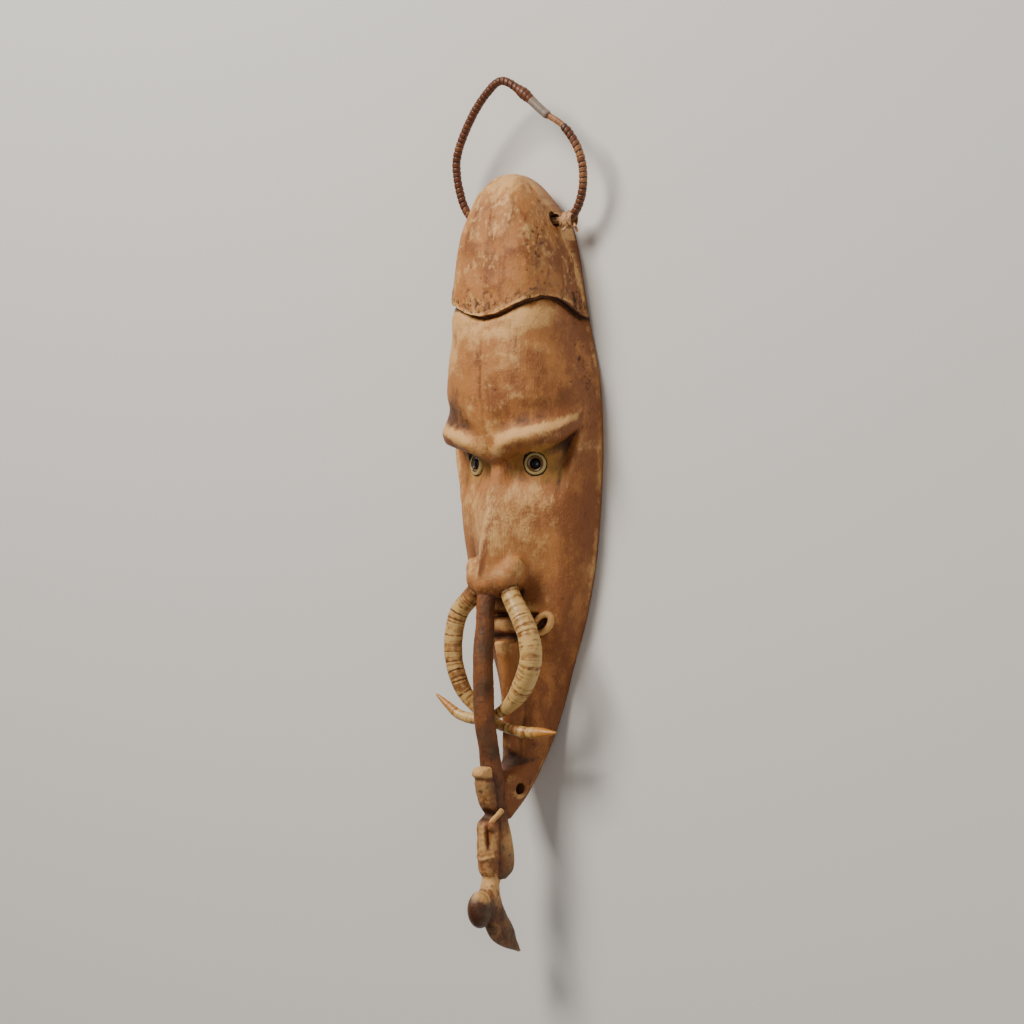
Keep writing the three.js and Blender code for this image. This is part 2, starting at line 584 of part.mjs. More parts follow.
const rodAcross = (radius, long, sides, at) => solid(new THREE.CylinderGeometry(radius, radius, long, sides)
  .rotateZ(Math.PI / 2).translate(...at));
const chinHole = rodAcross(CHIN_HOLE_RADIUS, CHIN_HOLE_LONG, HOLE_SIDES, [0, CHIN_HOLE_Y, CHIN_HOLE_Z]);
const capHole = (side) =>
  rodAcross(HOLE_RADIUS, HOLE_LONG, HOLE_SIDES, [side * HOLE_MIDDLE_X, HOLE_Y, HOLE_Z]);

const pupilRadius = EYE_BORE - PUPIL_GAP;
const shellProfile = [[EYE_BORE, 0], [EYE_RADIUS, 0], [EYE_RADIUS, EYE_THICK - EYE_BEVEL],
  [EYE_RADIUS - EYE_BEVEL, EYE_THICK], [EYE_RADIUS - EYE_LIP, EYE_THICK],
  [EYE_BORE, EYE_THICK - EYE_BORE_DIP]];
const pupilProfile = [[0, 0], [pupilRadius, 0], [pupilRadius, EYE_THICK - EYE_BEVEL],
  [EYE_BORE - PUPIL_SHOULDER, EYE_THICK], [0, EYE_THICK + PUPIL_PROUD]];
const seatRadius = EYE_RADIUS + SEAT_GAP;
const seatProfile = [[0, 0], [seatRadius, 0], [seatRadius, SEAT_LONG], [0, SEAT_LONG]];
const lowered = (profile, by) => profile.map(([r, h]) => [r, h - EYE_SUNK - by]);
const eyePiece = (profile, sides, side, by = 0) => turned(lowered(profile, by), sides, eyePlace(side));

const joined = [
  upright(TRUNK, ...TRUNK_STEPS),
  upright(TAIL, ...TAIL_STEPS),
  upright(BIRD, ...BIRD_STEPS),
  crest,
  upright(BIRD_WING, ...BIRD_WING_STEPS, BIRD_WING_X),
  upright(BIRD_WING, ...BIRD_WING_STEPS, -BIRD_WING_X),
  noseWing(1),
  noseWing(-1),
  noseTip,
  cornerRing(1),
  cornerRing(-1),
];
const cuts = [
  ...tusks(FIT_GAP),
  chinHole,
  cornerHollow(1),
  cornerHollow(-1),
  capHole(1),
  capHole(-1),
  eyePiece(seatProfile, SHELL_SIDES, 1, SEAT_GAP),
  eyePiece(seatProfile, SHELL_SIDES, -1, SEAT_GAP),
];
let mask = body;
for (const part of joined) {
  mask = mask.add(part);
}
for (const cut of cuts) {
  mask = mask.subtract(cut);
}

// A tie: a knot round the hoop's end, a neck through the cap's hole and a stop behind the wall.
const knotX = outsideX(HOLE_Y - KNOT_SEAT * TIE_KNOT[1], HOLE_Z) + TIE_KNOT[0] + FIT_GAP;
const stopX = hollowX(HOLE_Y + TIE_STOP, HOLE_Z) - TIE_STOP - FIT_GAP;
const hoopEnds = [[knotX, 0], ...HOOP, [-knotX, 0]];
const hoopPath = hoopEnds.map(([x, rise]) => [x, HOLE_Y + rise, HOLE_Z + HOOP_LEAN * rise, HOOP_RADIUS]);
const hoop = solid(bar(hoopPath, ...HOOP_STEPS));
const hoopFit = solid(bar(hoopPath, ...HOOP_STEPS, FIT_GAP));
const tie = (side) => {
  const place = (geometry) => solid(side > 0 ? geometry : mirrored(geometry));
  const knot = ball(TIE_KNOT, KNOT_STEPS).translate(knotX, HOLE_Y, HOLE_Z);
  const neck = new THREE.CylinderGeometry(TIE_RADIUS, TIE_RADIUS, knotX - stopX, NECK_SIDES)
    .rotateZ(Math.PI / 2).translate((knotX + stopX) / 2, HOLE_Y, HOLE_Z);
  const stop = ball([TIE_STOP, TIE_STOP, TIE_STOP], SMALL_BALL_STEPS).translate(stopX, HOLE_Y, HOLE_Z);
  return place(knot).add(place(neck)).add(place(stop)).subtract(hoopFit);
};

const parts = [
  ["mask", mask, CARVED_WOOD],
  ["left_tusk", leftTusk, TUSK],
  ["right_tusk", rightTusk, TUSK],
  ["left_eye_shell", eyePiece(shellProfile, SHELL_SIDES, 1), SHELL],
  ["right_eye_shell", eyePiece(shellProfile, SHELL_SIDES, -1), SHELL],
  ["left_eye_pupil", eyePiece(pupilProfile, PUPIL_SIDES, 1), DARK_GUM],
  ["right_eye_pupil", eyePiece(pupilProfile, PUPIL_SIDES, -1), DARK_GUM],
  ["handle_hoop", hoop, WOUND_CANE],
  ["left_lashing", tie(1), SPLIT_CANE],
  ["right_lashing", tie(-1), SPLIT_CANE],
];

const group = new THREE.Group();
for (const [name, made, look] of parts) {
  const mesh = new THREE.Mesh(geometryOf(made), new THREE.MeshStandardMaterial(look));
  mesh.name = name;
  group.add(mesh);
}

// The frame's origin is the middle of the footprint, on the ground.
const box = new THREE.Box3().setFromObject(group);
const centre = box.getCenter(new THREE.Vector3());
group.position.set(-centre.x, -centre.y, -box.min.z);

export default group;
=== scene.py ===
import math

import bmesh
import bpy
import numpy as np
from mathutils import Matrix, Vector


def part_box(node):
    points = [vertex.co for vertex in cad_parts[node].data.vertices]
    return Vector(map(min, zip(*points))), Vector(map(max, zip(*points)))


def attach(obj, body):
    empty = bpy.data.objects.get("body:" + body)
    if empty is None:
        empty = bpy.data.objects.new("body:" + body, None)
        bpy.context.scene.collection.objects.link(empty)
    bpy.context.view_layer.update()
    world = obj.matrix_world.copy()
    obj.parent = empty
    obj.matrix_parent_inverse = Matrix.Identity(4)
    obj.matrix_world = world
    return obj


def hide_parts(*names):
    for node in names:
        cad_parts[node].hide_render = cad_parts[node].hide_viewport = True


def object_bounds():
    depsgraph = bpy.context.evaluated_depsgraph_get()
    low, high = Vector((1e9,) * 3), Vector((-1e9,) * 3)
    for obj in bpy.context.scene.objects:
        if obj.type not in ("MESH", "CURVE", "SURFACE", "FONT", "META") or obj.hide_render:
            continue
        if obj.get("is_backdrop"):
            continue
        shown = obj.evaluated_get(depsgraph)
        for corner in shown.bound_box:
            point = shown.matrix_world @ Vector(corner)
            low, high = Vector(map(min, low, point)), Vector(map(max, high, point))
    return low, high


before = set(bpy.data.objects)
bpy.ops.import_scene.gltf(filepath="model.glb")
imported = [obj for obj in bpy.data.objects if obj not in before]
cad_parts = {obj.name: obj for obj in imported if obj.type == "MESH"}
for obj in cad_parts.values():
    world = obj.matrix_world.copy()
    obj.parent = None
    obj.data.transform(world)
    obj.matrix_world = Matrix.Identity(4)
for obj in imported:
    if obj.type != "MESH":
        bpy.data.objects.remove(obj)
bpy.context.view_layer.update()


# The mask: one carving in a soft brown wood, hollowed from behind, with a long head under a scalloped
# cap, brows, nose and mouth, and a trunk that comes out of the nose and ends in a small bird.
# Sizes are in millimetres on the mask's own axes: x to its left, y up the face, z out of the face.
MM = 0.001
CAP_TOP_Y = 262
CAP_TOP_Z = 34
CAP_ROUND = 80
CAP_DRAW_POWER = 2.6
CAP_TIP_POWER = 2.2
CHIN_TIP_Y = -256
CHIN_TIP_Z = 40
CHIN_ROUND = 26
CHIN_LIFT = 109
CHIN_LIFT_POWER = 1.75
RIM_LIFT_RUN = 36
RIM_GIRTH_Z = 5
GIRTH_RISE = 0.75
GIRTH_RISE_RUN = 112
HALF_WIDTH = [[-256, 7], [-240, 11], [-198, 21.5], [-147, 33], [-96, 49.5], [-45, 60],
              [35, 66], [96, 63], [147, 52], [205, 41.5], [262, 31]]
CROWN_Z = [[-256, 46], [-240, 58], [-223, 56], [-208, 37], [-134, 36], [-98, 42],
           [-60, 40], [-25, 48], [20, 55], [50, 71], [85, 77], [146, 76], [200, 72], [262, 70]]
FULLNESS = [[-256, 2.2], [-200, 1.8], [-134, 1.6], [-98, 2.3], [60, 2.4], [128, 2.7],
            [150, 3.5], [262, 3.4]]

mask_low, mask_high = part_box("mask")
MIDDLE = np.array([(mask_low.x + mask_high.x) / 2 / MM, mask_high.y / MM - CAP_TOP_Y, 0.0])


def along(stations, y, column=1):
    """A smooth curve through stations [y, value, ...]: a cubic between neighbours whose slope at each
    station is that from the station before it to the one after it."""
    rows = np.array(sorted(stations), float)
    at, value = rows[:, 0], rows[:, column]
    last = len(at) - 1
    y = np.clip(y, at[0], at[-1])
    i = np.clip(np.searchsorted(at, y, side="right") - 1, 0, last - 1)
    before, after = np.maximum(np.arange(last + 1) - 1, 0), np.minimum(np.arange(last + 1) + 1, last)
    slope = (value[after] - value[before]) / (at[after] - at[before])
    step = at[i + 1] - at[i]
    t = (y - at[i]) / step
    start, end, rise = slope[i] * step, slope[i + 1] * step, value[i + 1] - value[i]
    return value[i] + t * (start + t * (3 * rise - 2 * start - end + t * (start + end - 2 * rise)))


def ease(a, b, x):
    """A smooth step from 0 at a to 1 at b."""
    t = np.clip((x - a) / (b - a), 0, 1)
    return t * t * (3 - 2 * t)


def bell(x):
    """1 at the middle, falling away smoothly on both sides."""
    return np.exp(-np.square(x))


def band(x, middle, half):
    """1 at the middle, falling away smoothly over so much on both sides."""
    return bell((x - middle) / half)


def patch(across, up, at, half):
    """1 at a place, falling away smoothly so far to its sides and so far up and down."""
    return band(across, at[0], half[0]) * band(up, at[1], half[1])


def circle(count):
    """The angles of so many places round a circle."""
    return np.arange(count) / count * 2 * np.pi


def spots_at(x, y=0.0, z=0.0):
    """Spots with these coordinates, one for each place of a grid."""
    return np.stack(np.broadcast_arrays(x, y, z), -1)


LATTICE = 32
LAYER_SHIFT = 5.37


def cloud(spots, size, seed, layers=3):
    """Smooth random values from -1 to 1: random numbers on a lattice with cells of the given size,
    blended between their neighbours, each further layer half as large and half as strong."""
    total, weight = 0.0, 0.0
    for layer in range(layers):
        table = np.random.default_rng(seed + layer).uniform(-1, 1, (LATTICE,) * 3)
        at = np.asarray(spots, float) / np.asarray(size, float) * 2 ** layer + LAYER_SHIFT * (layer + 1)
        cell = np.floor(at).astype(int)
        t = at - cell
        t = t * t * (3 - 2 * t)
        for corner in np.ndindex(2, 2, 2):
            share = np.prod(np.where(np.array(corner), t, 1 - t), axis=-1)
            i, j, k = np.moveaxis((cell + np.array(corner)) % LATTICE, -1, 0)
            total = total + table[i, j, k] * share / 2 ** layer
        weight += 1 / 2 ** layer
    return total / weight


NET = 64
NET_MARGIN = 0.1
FAR_OFF = 9.0


def cells(across, up, size, seed):
    """Random cells, as of a net: for each spot the distance to the nearest of a lattice of points that
    are each moved at random, how much further off the second nearest is, and the nearest one's number."""
    table = np.random.default_rng(seed).uniform(0, 1, (NET, NET, 3))
    u, v = np.broadcast_arrays(across / size[0], up / size[1])
    i, j = np.floor(u).astype(int), np.floor(v).astype(int)
    nearest, second, own = np.full(u.shape, FAR_OFF), np.full(u.shape, FAR_OFF), np.zeros(u.shape)
    for step_i, step_j in np.ndindex(3, 3):
        a, b = i + step_i - 1, j + step_j - 1
        chance = table[a % NET, b % NET]
        point = NET_MARGIN + (1 - 2 * NET_MARGIN) * chance
        far = np.hypot(a + point[..., 0] - u, b + point[..., 1] - v)
        second = np.where(far < nearest, nearest, np.minimum(second, far))
        own = np.where(far < nearest, chance[..., 2], own)
        nearest = np.minimum(nearest, far)
    return nearest, second - nearest, own


def cap_round(y):
    """How far the end of the cap has drawn in: 1 where it starts, 0 at the tip."""
    share = np.clip((y - CAP_TOP_Y + CAP_ROUND) / CAP_ROUND, 0, 1)
    return (1 - share ** CAP_DRAW_POWER) ** (1 / CAP_TIP_POWER)


def chin_round(y):
    """How far the end of the chin has drawn in, as a quarter circle."""
    return (1 - np.clip((CHIN_TIP_Y + CHIN_ROUND - y) / CHIN_ROUND, 0, 1) ** 2) ** 0.5


def half_width(y):
    """Half the carving's width, drawn in at both ends."""
    return along(HALF_WIDTH, y) * cap_round(y) * chin_round(y)


def rim_z(y):
    """Height of the back rim, which lifts off the flat at the cap's tip and along the chin."""
    share = np.clip((y - CAP_TOP_Y + RIM_LIFT_RUN) / RIM_LIFT_RUN, 0, 1)
    chin = np.clip((CHIN_TIP_Y + CHIN_LIFT - y) / CHIN_LIFT, 0, 1)
    return CAP_TOP_Z * (1 - np.sqrt(1 - share ** 2)) + CHIN_TIP_Z * chin ** CHIN_LIFT_POWER


def crown_z(y):
    """Height of the middle of the plain form, drawn in at both ends."""
    crown = along(CROWN_Z, y)
    cap = CAP_TOP_Z + (crown - CAP_TOP_Z) * cap_round(y)
    return np.where(y > 0, cap, CHIN_TIP_Z + (crown - CHIN_TIP_Z) * chin_round(y))


def girth_z(y):
    """Height at which the carving is widest."""
    z = rim_z(y) + RIM_GIRTH_Z + CAP_TOP_Z * ease(CAP_TOP_Y - GIRTH_RISE_RUN, CAP_TOP_Y, y) * GIRTH_RISE
    return np.minimum(z, (crown_z(y) + rim_z(y)) / 2)


# The cap's edge is undercut and throws a shadow down the forehead. The brows and sockets are measured
# round the face at one radius, from the middle outwards.
CAP_EDGE_Y = 146
SCALLOP = 16
CAP_PROUD = 5.5
CAP_SHADOW_RUN = 16
CAP_SHADOW_ROUND = 0.8
UNDERCUT_DEPTH = 2.2
UNDERCUT_Y = -1.6
UNDERCUT_HALF = 1.8
ROUND_FACE = 60
BROW_ROOT_Y = 34
BROW_CLIMB = [[0, 0], [16, 9.5], [33, 16.5], [50, 21.5], [64, 28], [71, 34.5], [94, 36]]
BROW_WAVER = 1.3
BROW_HEIGHT = 7.2
BROW_WIDTH = 8
BROW_TIP = 71
BROW_SIDE_RUN = 12
BROW_TAPER = 0.75
BROW_THIN = [34, 68]
BROW_MIDDLE_SHARE = 0.4
BROW_MIDDLE_RUN = 18
BROW_DROP = 6
BROW_DROP_MORE = 5
BROW_THICKEST = 42
BROW_THICK_RUN = 22
BROW_DIP = 2.2
BROW_DIP_ABOVE = 19
BROW_DIP_WIDE = 9
SOCKET_DEPTH = 10
SOCKET_WALL = 64
SOCKET_WALL_SLOPE = 0.18
SOCKET_WALL_Y = 40
SOCKET_WALL_RUN = [-4, 2]
SOCKET_TOP_RUN = [-3, 6]
SOCKET_FLOOR = [6, 0.34]
SOCKET_FOOT = [34, 0.6]
SOCKET_INNER = [3, 16]


def radial_relief(turn, y, edge):
    """Brow, socket and cap's edge, along the radius: a rounded roll on a rising line, a hollow below it
    that ends at the temple, and a step that fades down the forehead under the cap's edge."""
    across = np.abs(turn) * ROUND_FACE
    below = BROW_ROOT_Y + along(BROW_CLIMB, across) - y
    below = below + BROW_WAVER * cloud(spots_at(turn * ROUND_FACE, y), [13, 10, 1], 22, 2)
    reach = 1 - ease(BROW_TIP - BROW_SIDE_RUN, BROW_TIP, across)
    reach = reach * (1 - BROW_TAPER * ease(*BROW_THIN, across))
    reach = reach * (BROW_MIDDLE_SHARE + (1 - BROW_MIDDLE_SHARE) * ease(0, BROW_MIDDLE_RUN, across))
    drop = BROW_DROP + BROW_DROP_MORE * band(across, BROW_THICKEST, BROW_THICK_RUN)
    roll = np.where(below > 0, np.sqrt(np.clip(1 - (below / drop) ** 2, 0, 1)), bell(below / BROW_WIDTH))
    brow = reach * (BROW_HEIGHT * roll - BROW_DIP * band(below, -BROW_DIP_ABOVE, BROW_DIP_WIDE))
    deep, foot = (start + slope * across for start, slope in (SOCKET_FLOOR, SOCKET_FOOT))
    sink = ease(drop + SOCKET_TOP_RUN[0], drop + SOCKET_TOP_RUN[1], below) * (1 - ease(deep, foot, below))
    wall = SOCKET_WALL + SOCKET_WALL_SLOPE * (y - SOCKET_WALL_Y)
    outer = 1 - ease(wall + SOCKET_WALL_RUN[0], wall + SOCKET_WALL_RUN[1], across)
    socket = SOCKET_DEPTH * sink * ease(*SOCKET_INNER, across) * outer
    under = np.minimum(y - edge, 0)
    step = CAP_PROUD * np.exp(under / CAP_SHADOW_RUN)
    step = step + UNDERCUT_DEPTH * band(under, UNDERCUT_Y, UNDERCUT_HALF)
    shadow = np.where(y < edge, step, 0) * (1 - CAP_SHADOW_ROUND * np.abs(turn / (np.pi / 2)) ** 6)
    return brow - socket - shadow


# The nose is a ridge with hollow flanks that ends square above the mouth. Under it lie the slit of the
# mouth, a rolled lower lip and a tapering column down the chin.
NOSE_RIDGE_Z = [[-84, 66], [-76, 76], [-58, 80], [-38, 75], [-19, 69], [26, 57], [40, 60]]
NOSE_HALF = [[-84, 34], [-55, 37], [-25, 39], [0, 35], [34, 16]]
NOSE_END_Y = -76
NOSE_END_SLOPE = 0.62
NOSE_END_REACH = 32
NOSE_END_FADE = 52
NOSE_END_RUN = [5, 3]
NOSTRIL_SIDE = 14
NOSTRIL_SLOPE = 0.7
NOSE_ROOT_RUN = [26, 42]
NOSE_FLANK_GAIN = 1.1
NOSE_RIDGE_ROUND = 0.1
NOSE_FLANK_POWER = 1.6
SLIT_Y = -92
SLIT_DEPTH = 5
SLIT_HALF_TALL = 2.6
LIP_Y = -100.5
LIP_HALF_TALL = 6.5
LIP_PROUD = 5
LIP_HALF_LONG = 29
LIP_END_RUN = 4
LIP_GROOVE_DEPTH = 2.5
LIP_GROOVE_HALF = 2.2
LIP_GROOVE_BELOW = 2
CHIN_COLUMN_TOP = -111
CHIN_COLUMN_FOOT = -206
CHIN_COLUMN_PROUD = 10.5
CHIN_COLUMN_HALF = 12.5
CHIN_COLUMN_TOP_RUN = 4
CHIN_COLUMN_FOOT_RUN = 10
CHIN_COLUMN_TAPER = 0.6
CHIN_COLUMN_EDGE = [0.5, 1.35]


def front_relief(x, y):
    """Nose, mouth and chin column, straight out along z, each a height times how far it reaches."""
    side = np.abs(x)
    share = side / along(NOSE_HALF, y)
    fall = NOSE_FLANK_GAIN * share ** 2 / (share + NOSE_RIDGE_ROUND)
    flank = (1 - np.clip(fall, 0, 1)) ** NOSE_FLANK_POWER
    end = NOSE_END_Y + NOSE_END_SLOPE * side
    nostril = NOSTRIL_SLOPE * np.maximum(0, side - NOSTRIL_SIDE)
    cut = ease(end - NOSE_END_RUN[0] - nostril, end + NOSE_END_RUN[1], y) * (1 - ease(*NOSE_ROOT_RUN, y))
    nose = (along(NOSE_RIDGE_Z, y) - crown_z(y)) * flank * cut
    tall = np.sqrt(np.maximum(0, 1 - ((y - LIP_Y) / LIP_HALF_TALL) ** 2))
    lip_long = 1 - ease(LIP_HALF_LONG - LIP_END_RUN, LIP_HALF_LONG, side)
    groove_y = LIP_Y - LIP_HALF_TALL - LIP_GROOVE_BELOW
    slit = SLIT_DEPTH * band(y, SLIT_Y, SLIT_HALF_TALL)
    slit = slit + LIP_GROOVE_DEPTH * band(y, groove_y, LIP_GROOVE_HALF)
    column = ease(CHIN_COLUMN_TOP, CHIN_COLUMN_TOP - CHIN_COLUMN_TOP_RUN, y)
    column = column * ease(CHIN_COLUMN_FOOT, CHIN_COLUMN_FOOT + CHIN_COLUMN_FOOT_RUN, y)
    narrow = CHIN_COLUMN_HALF * (1 - CHIN_COLUMN_TAPER * ease(CHIN_COLUMN_TOP, CHIN_COLUMN_FOOT, y))
    chin = CHIN_COLUMN_PROUD * column * (1 - ease(*CHIN_COLUMN_EDGE, side / narrow))
    return nose + (LIP_PROUD * tall - slit) * lip_long + chin


# The back is hollowed to a narrow rim, round at both ends.
RIM_TUCK = 2
RIM_DRAWN_IN = 14
RIM_DRAWN_FROM = 47
RIM_DRAWN_TO = 6
RIM_LEAST = 0.4
SIDE_WALL = 9
FRONT_WALL = 20
HOLLOW_BELOW_TOP = 18
HOLLOW_TOP_Y = CAP_TOP_Y - HOLLOW_BELOW_TOP
HOLLOW_FOOT_Y = -176
HOLLOW_LEAST = 0.6
HOLLOW_POWER = 0.7
HOLLOW_END_POWER = 8


def rim_half(y):
    """Half-width of the narrow back rim."""
    drawn = RIM_DRAWN_IN * ease(CAP_TOP_Y - RIM_DRAWN_FROM, CAP_TOP_Y - RIM_DRAWN_TO, y) * cap_round(y)
    return np.maximum(half_width(y) - RIM_TUCK - drawn, RIM_LEAST * half_width(y))


def hollow_half(y):
    """Half-width of the hollow between the rim's inner edges."""
    return np.maximum(rim_half(y) - SIDE_WALL, HOLLOW_LEAST * rim_half(y))


def hollow_roof(y):
    """Depth of the hollow, with rounded ends."""
    middle = (HOLLOW_TOP_Y + HOLLOW_FOOT_Y) / 2
    run = np.clip(np.abs(y - middle) / (HOLLOW_TOP_Y - middle), 0, 1)
    return np.maximum(0, crown_z(y) - FRONT_WALL - rim_z(y)) * (1 - run ** HOLLOW_END_POWER) ** 0.5


# What the adze, the knife and time left on the front: rows of shallow cuts, a groove down the forehead
# and one up the rim, worm holes and a crumbling crust, most of it up the cap's left side and rim.
ADZE_CUTS = {"cell": [15, 34], "seed": 11, "ridge": 0.7, "tilt": 0.9, "flat": 0.2}
FACE_CUTS = {"cell": [19, 27], "seed": 12, "ridge": 0.3, "tilt": 0.4, "flat": 0.3}
CUT_RIDGE_RUN = 0.5
CUT_BEND = 3
FACE_SWELL = 0.8
GROOVE_DEPTH = 0.6
GROOVE_HALF = 1.2
GROOVE_FOOT = [44, 60]
GROOVE_TOP = [100, 140]
RIM_GROOVE_AT = 70
RIM_GROOVE_HALF = 1.5
RIM_GROOVE_FOOT = [60, 90]
CRUST_AT = [38, 205]
CRUST_EDGE_SHARE = 1.2
CRUST_RIM_SHARE = 0.8
PIT_DEPTH = 0.9
PIT_CELL = [2.3, 2.7]
PIT_SIZE = [0.1, 0.5]
PIT_ODDS = {"rim": 0.5, "cap": 0.03, "crust": 0.5, "anywhere": 0.004}
CHIN_HOLE_AT = [0, -231, 41]
CHIN_LIP_RADIUS = 7.2
CHIN_LIP_HALF = 1.9


def bent(across, y):
    """Places across the face, pushed aside here and there so that rows of cuts don't run straight."""
    return across + CUT_BEND * cloud(spots_at(across, y), [20, 26, 1], 14, 2)


def cuts(across, y, cell, seed, ridge, tilt, flat):
    """Cuts side by side: each cell of a net is one cut, tilted at random, and a ridge stands between two."""
    _, gap, own = cells(across, y, cell, seed)
    return ridge * (1 - ease(0, CUT_RIDGE_RUN, gap)) + tilt * (own - 0.5) * ease(0, flat, gap)


def pits(across, y, above_edge):
    """Worm holes: round dents in some cells of a fine net, thickest up the rim and in the crust."""
    spots = spots_at(across, y)
    nearest, _, own = cells(across + 0.8 * cloud(spots, [3, 3, 1], 20, 2), y, PIT_CELL, 13)
    rim = ease(66, 72, np.abs(across)) * ease(30, 60, y)
    crust = patch(across, y, CRUST_AT, [6, 36]) + band(y, CAP_EDGE_Y + 9, 7)
    often = PIT_ODDS["rim"] * rim + above_edge * (PIT_ODDS["cap"] + PIT_ODDS["crust"] * crust)
    often = (often + PIT_ODDS["anywhere"]) * np.clip(0.5 + 2.2 * cloud(spots, [14, 18, 1], 19, 2), 0.1, 2)
    return (1 - ease(*PIT_SIZE, nearest)) * (own < often)


def tool_marks(turn, y, above_edge):
    """What the adze and time left on the front, along the radius, as the sum of what is named above."""
    across = turn * ROUND_FACE
    spots = spots_at(across, y)
    row = bent(across, y)
    marks = cuts(row, y, **ADZE_CUTS) * above_edge + cuts(row, y, **FACE_CUTS) * (1 - above_edge)
    marks = marks + FACE_SWELL * cloud(spots, [30, 34, 1], 15, 3)
    groove = GROOVE_DEPTH * bell(row / GROOVE_HALF) * ease(*GROOVE_FOOT, y) * (1 - ease(*GROOVE_TOP, y))
    side = np.abs(across) + 1.5 * cloud(spots, [8, 12, 1], 16, 2)
    broken = np.clip(0.5 + 1.5 * cloud(spots, [10, 22, 1], 23, 2), 0, 1)
    rim_groove = broken * band(side, RIM_GROOVE_AT, RIM_GROOVE_HALF) * ease(*RIM_GROOVE_FOOT, y)
    crusted = patch(across, y, CRUST_AT, [8, 40]) + CRUST_EDGE_SHARE * band(y, CAP_EDGE_Y + 7, 8)
    crusted = above_edge * crusted + CRUST_RIM_SHARE * ease(68, 74, np.abs(across))
    crust = cloud(spots, [3.2, 3.6, 1], 21, 3) * crusted
    return marks + crust - PIT_DEPTH * pits(across, y, above_edge) - groove * (1 - above_edge) - rim_groove


def chin_hole_lip(y, z):
    """The raised lip of the hole through the chin, a ring that stands out on its lower and front side."""
    aside_y, aside_z = y - CHIN_HOLE_AT[1], z - CHIN_HOLE_AT[2]
    ring = band(np.hypot(aside_y, aside_z), CHIN_LIP_RADIUS, CHIN_LIP_HALF)
    return ring * np.clip(0.5 - 0.07 * (aside_y + aside_z), 0, 1.3)


SIDE_CROWDING = 1.15
EDGE_WAVER = 1.3
CAP_PULL = [60, 70]
BROW_PULL = [92, 64]
NOSE_PULL = [46, 12]


def pulled(at, run, y):
    """How much a grid line is pulled onto a feature: all of it there, fading above and below."""
    return ease(at - run[1], at, y) * (1 - ease(at, at + run[0], y))


def body_rings(rows, front_count, back_count):
    """The carving as closed rings, one for each row up the face: a superellipse over the front, carrying
    the relief, then the narrow rim and the hollow. Rows bend to follow the cap's edge, brows and nose."""
    s = np.linspace(-1, 1, front_count + 1)[None, :]
    y0 = rows[:, None]
    share = np.abs(s) ** SIDE_CROWDING
    turn = np.sign(s) * share * np.pi / 2
    edge = CAP_EDGE_Y + SCALLOP * np.sin(np.pi * share) ** 2
    edge = edge + EDGE_WAVER * cloud(spots_at(s * 90), [9, 1, 1], 18, 3)
    side_x = np.abs(np.sin(turn)) * half_width(y0)
    end_x = np.minimum(side_x, NOSE_END_REACH) * (1 - ease(NOSE_END_REACH, NOSE_END_FADE, side_x))
    y = y0 + (edge - CAP_EDGE_Y) * pulled(CAP_EDGE_Y, CAP_PULL, y0)
    y = y + NOSE_END_SLOPE * end_x * pulled(NOSE_END_Y, NOSE_PULL, y0)
    y = y + along(BROW_CLIMB, np.abs(turn) * ROUND_FACE) * pulled(BROW_ROOT_Y, BROW_PULL, y0)
    base, n = girth_z(y), along(FULLNESS, y)
    across, up = np.abs(np.sin(turn)) / half_width(y), np.cos(turn) / (crown_z(y) - base)
    reach = (across ** n + np.maximum(up, 0) ** n) ** (-1 / n)
    x, z = reach * np.sin(turn), base + reach * np.cos(turn)
    round_x = np.arctan2(x, z)
    above_edge = (y0 >= CAP_EDGE_Y) * np.ones_like(y)
    relief = radial_relief(round_x, y, np.where(y0 < CAP_EDGE_Y, edge, y))
    relief = relief + tool_marks(round_x, y, above_edge) * ease(0, 20, z) * chin_round(y)
    relief = relief + chin_hole_lip(y, z)
    front = spots_at(x + relief * np.sin(turn), y, z + relief * np.cos(turn) + front_relief(x, y))

    rim, foot, corner = rim_half(rows), rim_z(rows), np.cos(np.pi / 4)
    tuck = spots_at(rim + (half_width(rows) - rim) * corner, rows,
                    girth_z(rows) - (girth_z(rows) - foot) * corner)[:, None]
    edge_point = spots_at(rim, rows, foot)[:, None]
    round_back = np.linspace(0, np.pi, back_count + 1)[None, :]
    c, s = np.cos(round_back), np.sin(round_back)
    back = spots_at(hollow_half(y0) * np.sign(c) * np.abs(c) ** HOLLOW_POWER, y0,
                    rim_z(y0) + hollow_roof(y0) * np.maximum(s, 0) ** HOLLOW_POWER)
    mirror = np.array([-1, 1, 1])
    return np.concatenate([front, tuck, edge_point, back, edge_point * mirror, tuck * mirror], 1)


def skin(rings, first, last):
    """A closed skin through rows of rings, with a point added at each end: its points and faces."""
    rows, count = rings.shape[:2]
    points = np.concatenate([rings.reshape(-1, 3), [first], [last]])
    i, j = np.meshgrid(np.arange(rows - 1), np.arange(count), indexing="ij")
    a, b = (i * count + j).ravel(), (i * count + (j + 1) % count).ravel()
    faces = np.stack([a, b, b + count, a + count], 1).tolist()
    j = np.arange(count)
    k, end = (j + 1) % count, (rows - 1) * count
    faces += np.stack([np.full(count, len(points) - 2), k, j], 1).tolist()
    faces += np.stack([np.full(count, len(points) - 1), end + j, end + k], 1).tolist()
    return points, faces


def made(name, points, faces):
    """An object from points in millimetres on the mask's axes, placed in the shared frame."""
    mesh = bpy.data.meshes.new(name)
    mesh.from_pydata(((np.asarray(points) + MIDDLE) * MM).tolist(), [], faces)
    piece = bpy.data.objects.new(name, mesh)
    bpy.context.scene.collection.objects.link(piece)
    return piece


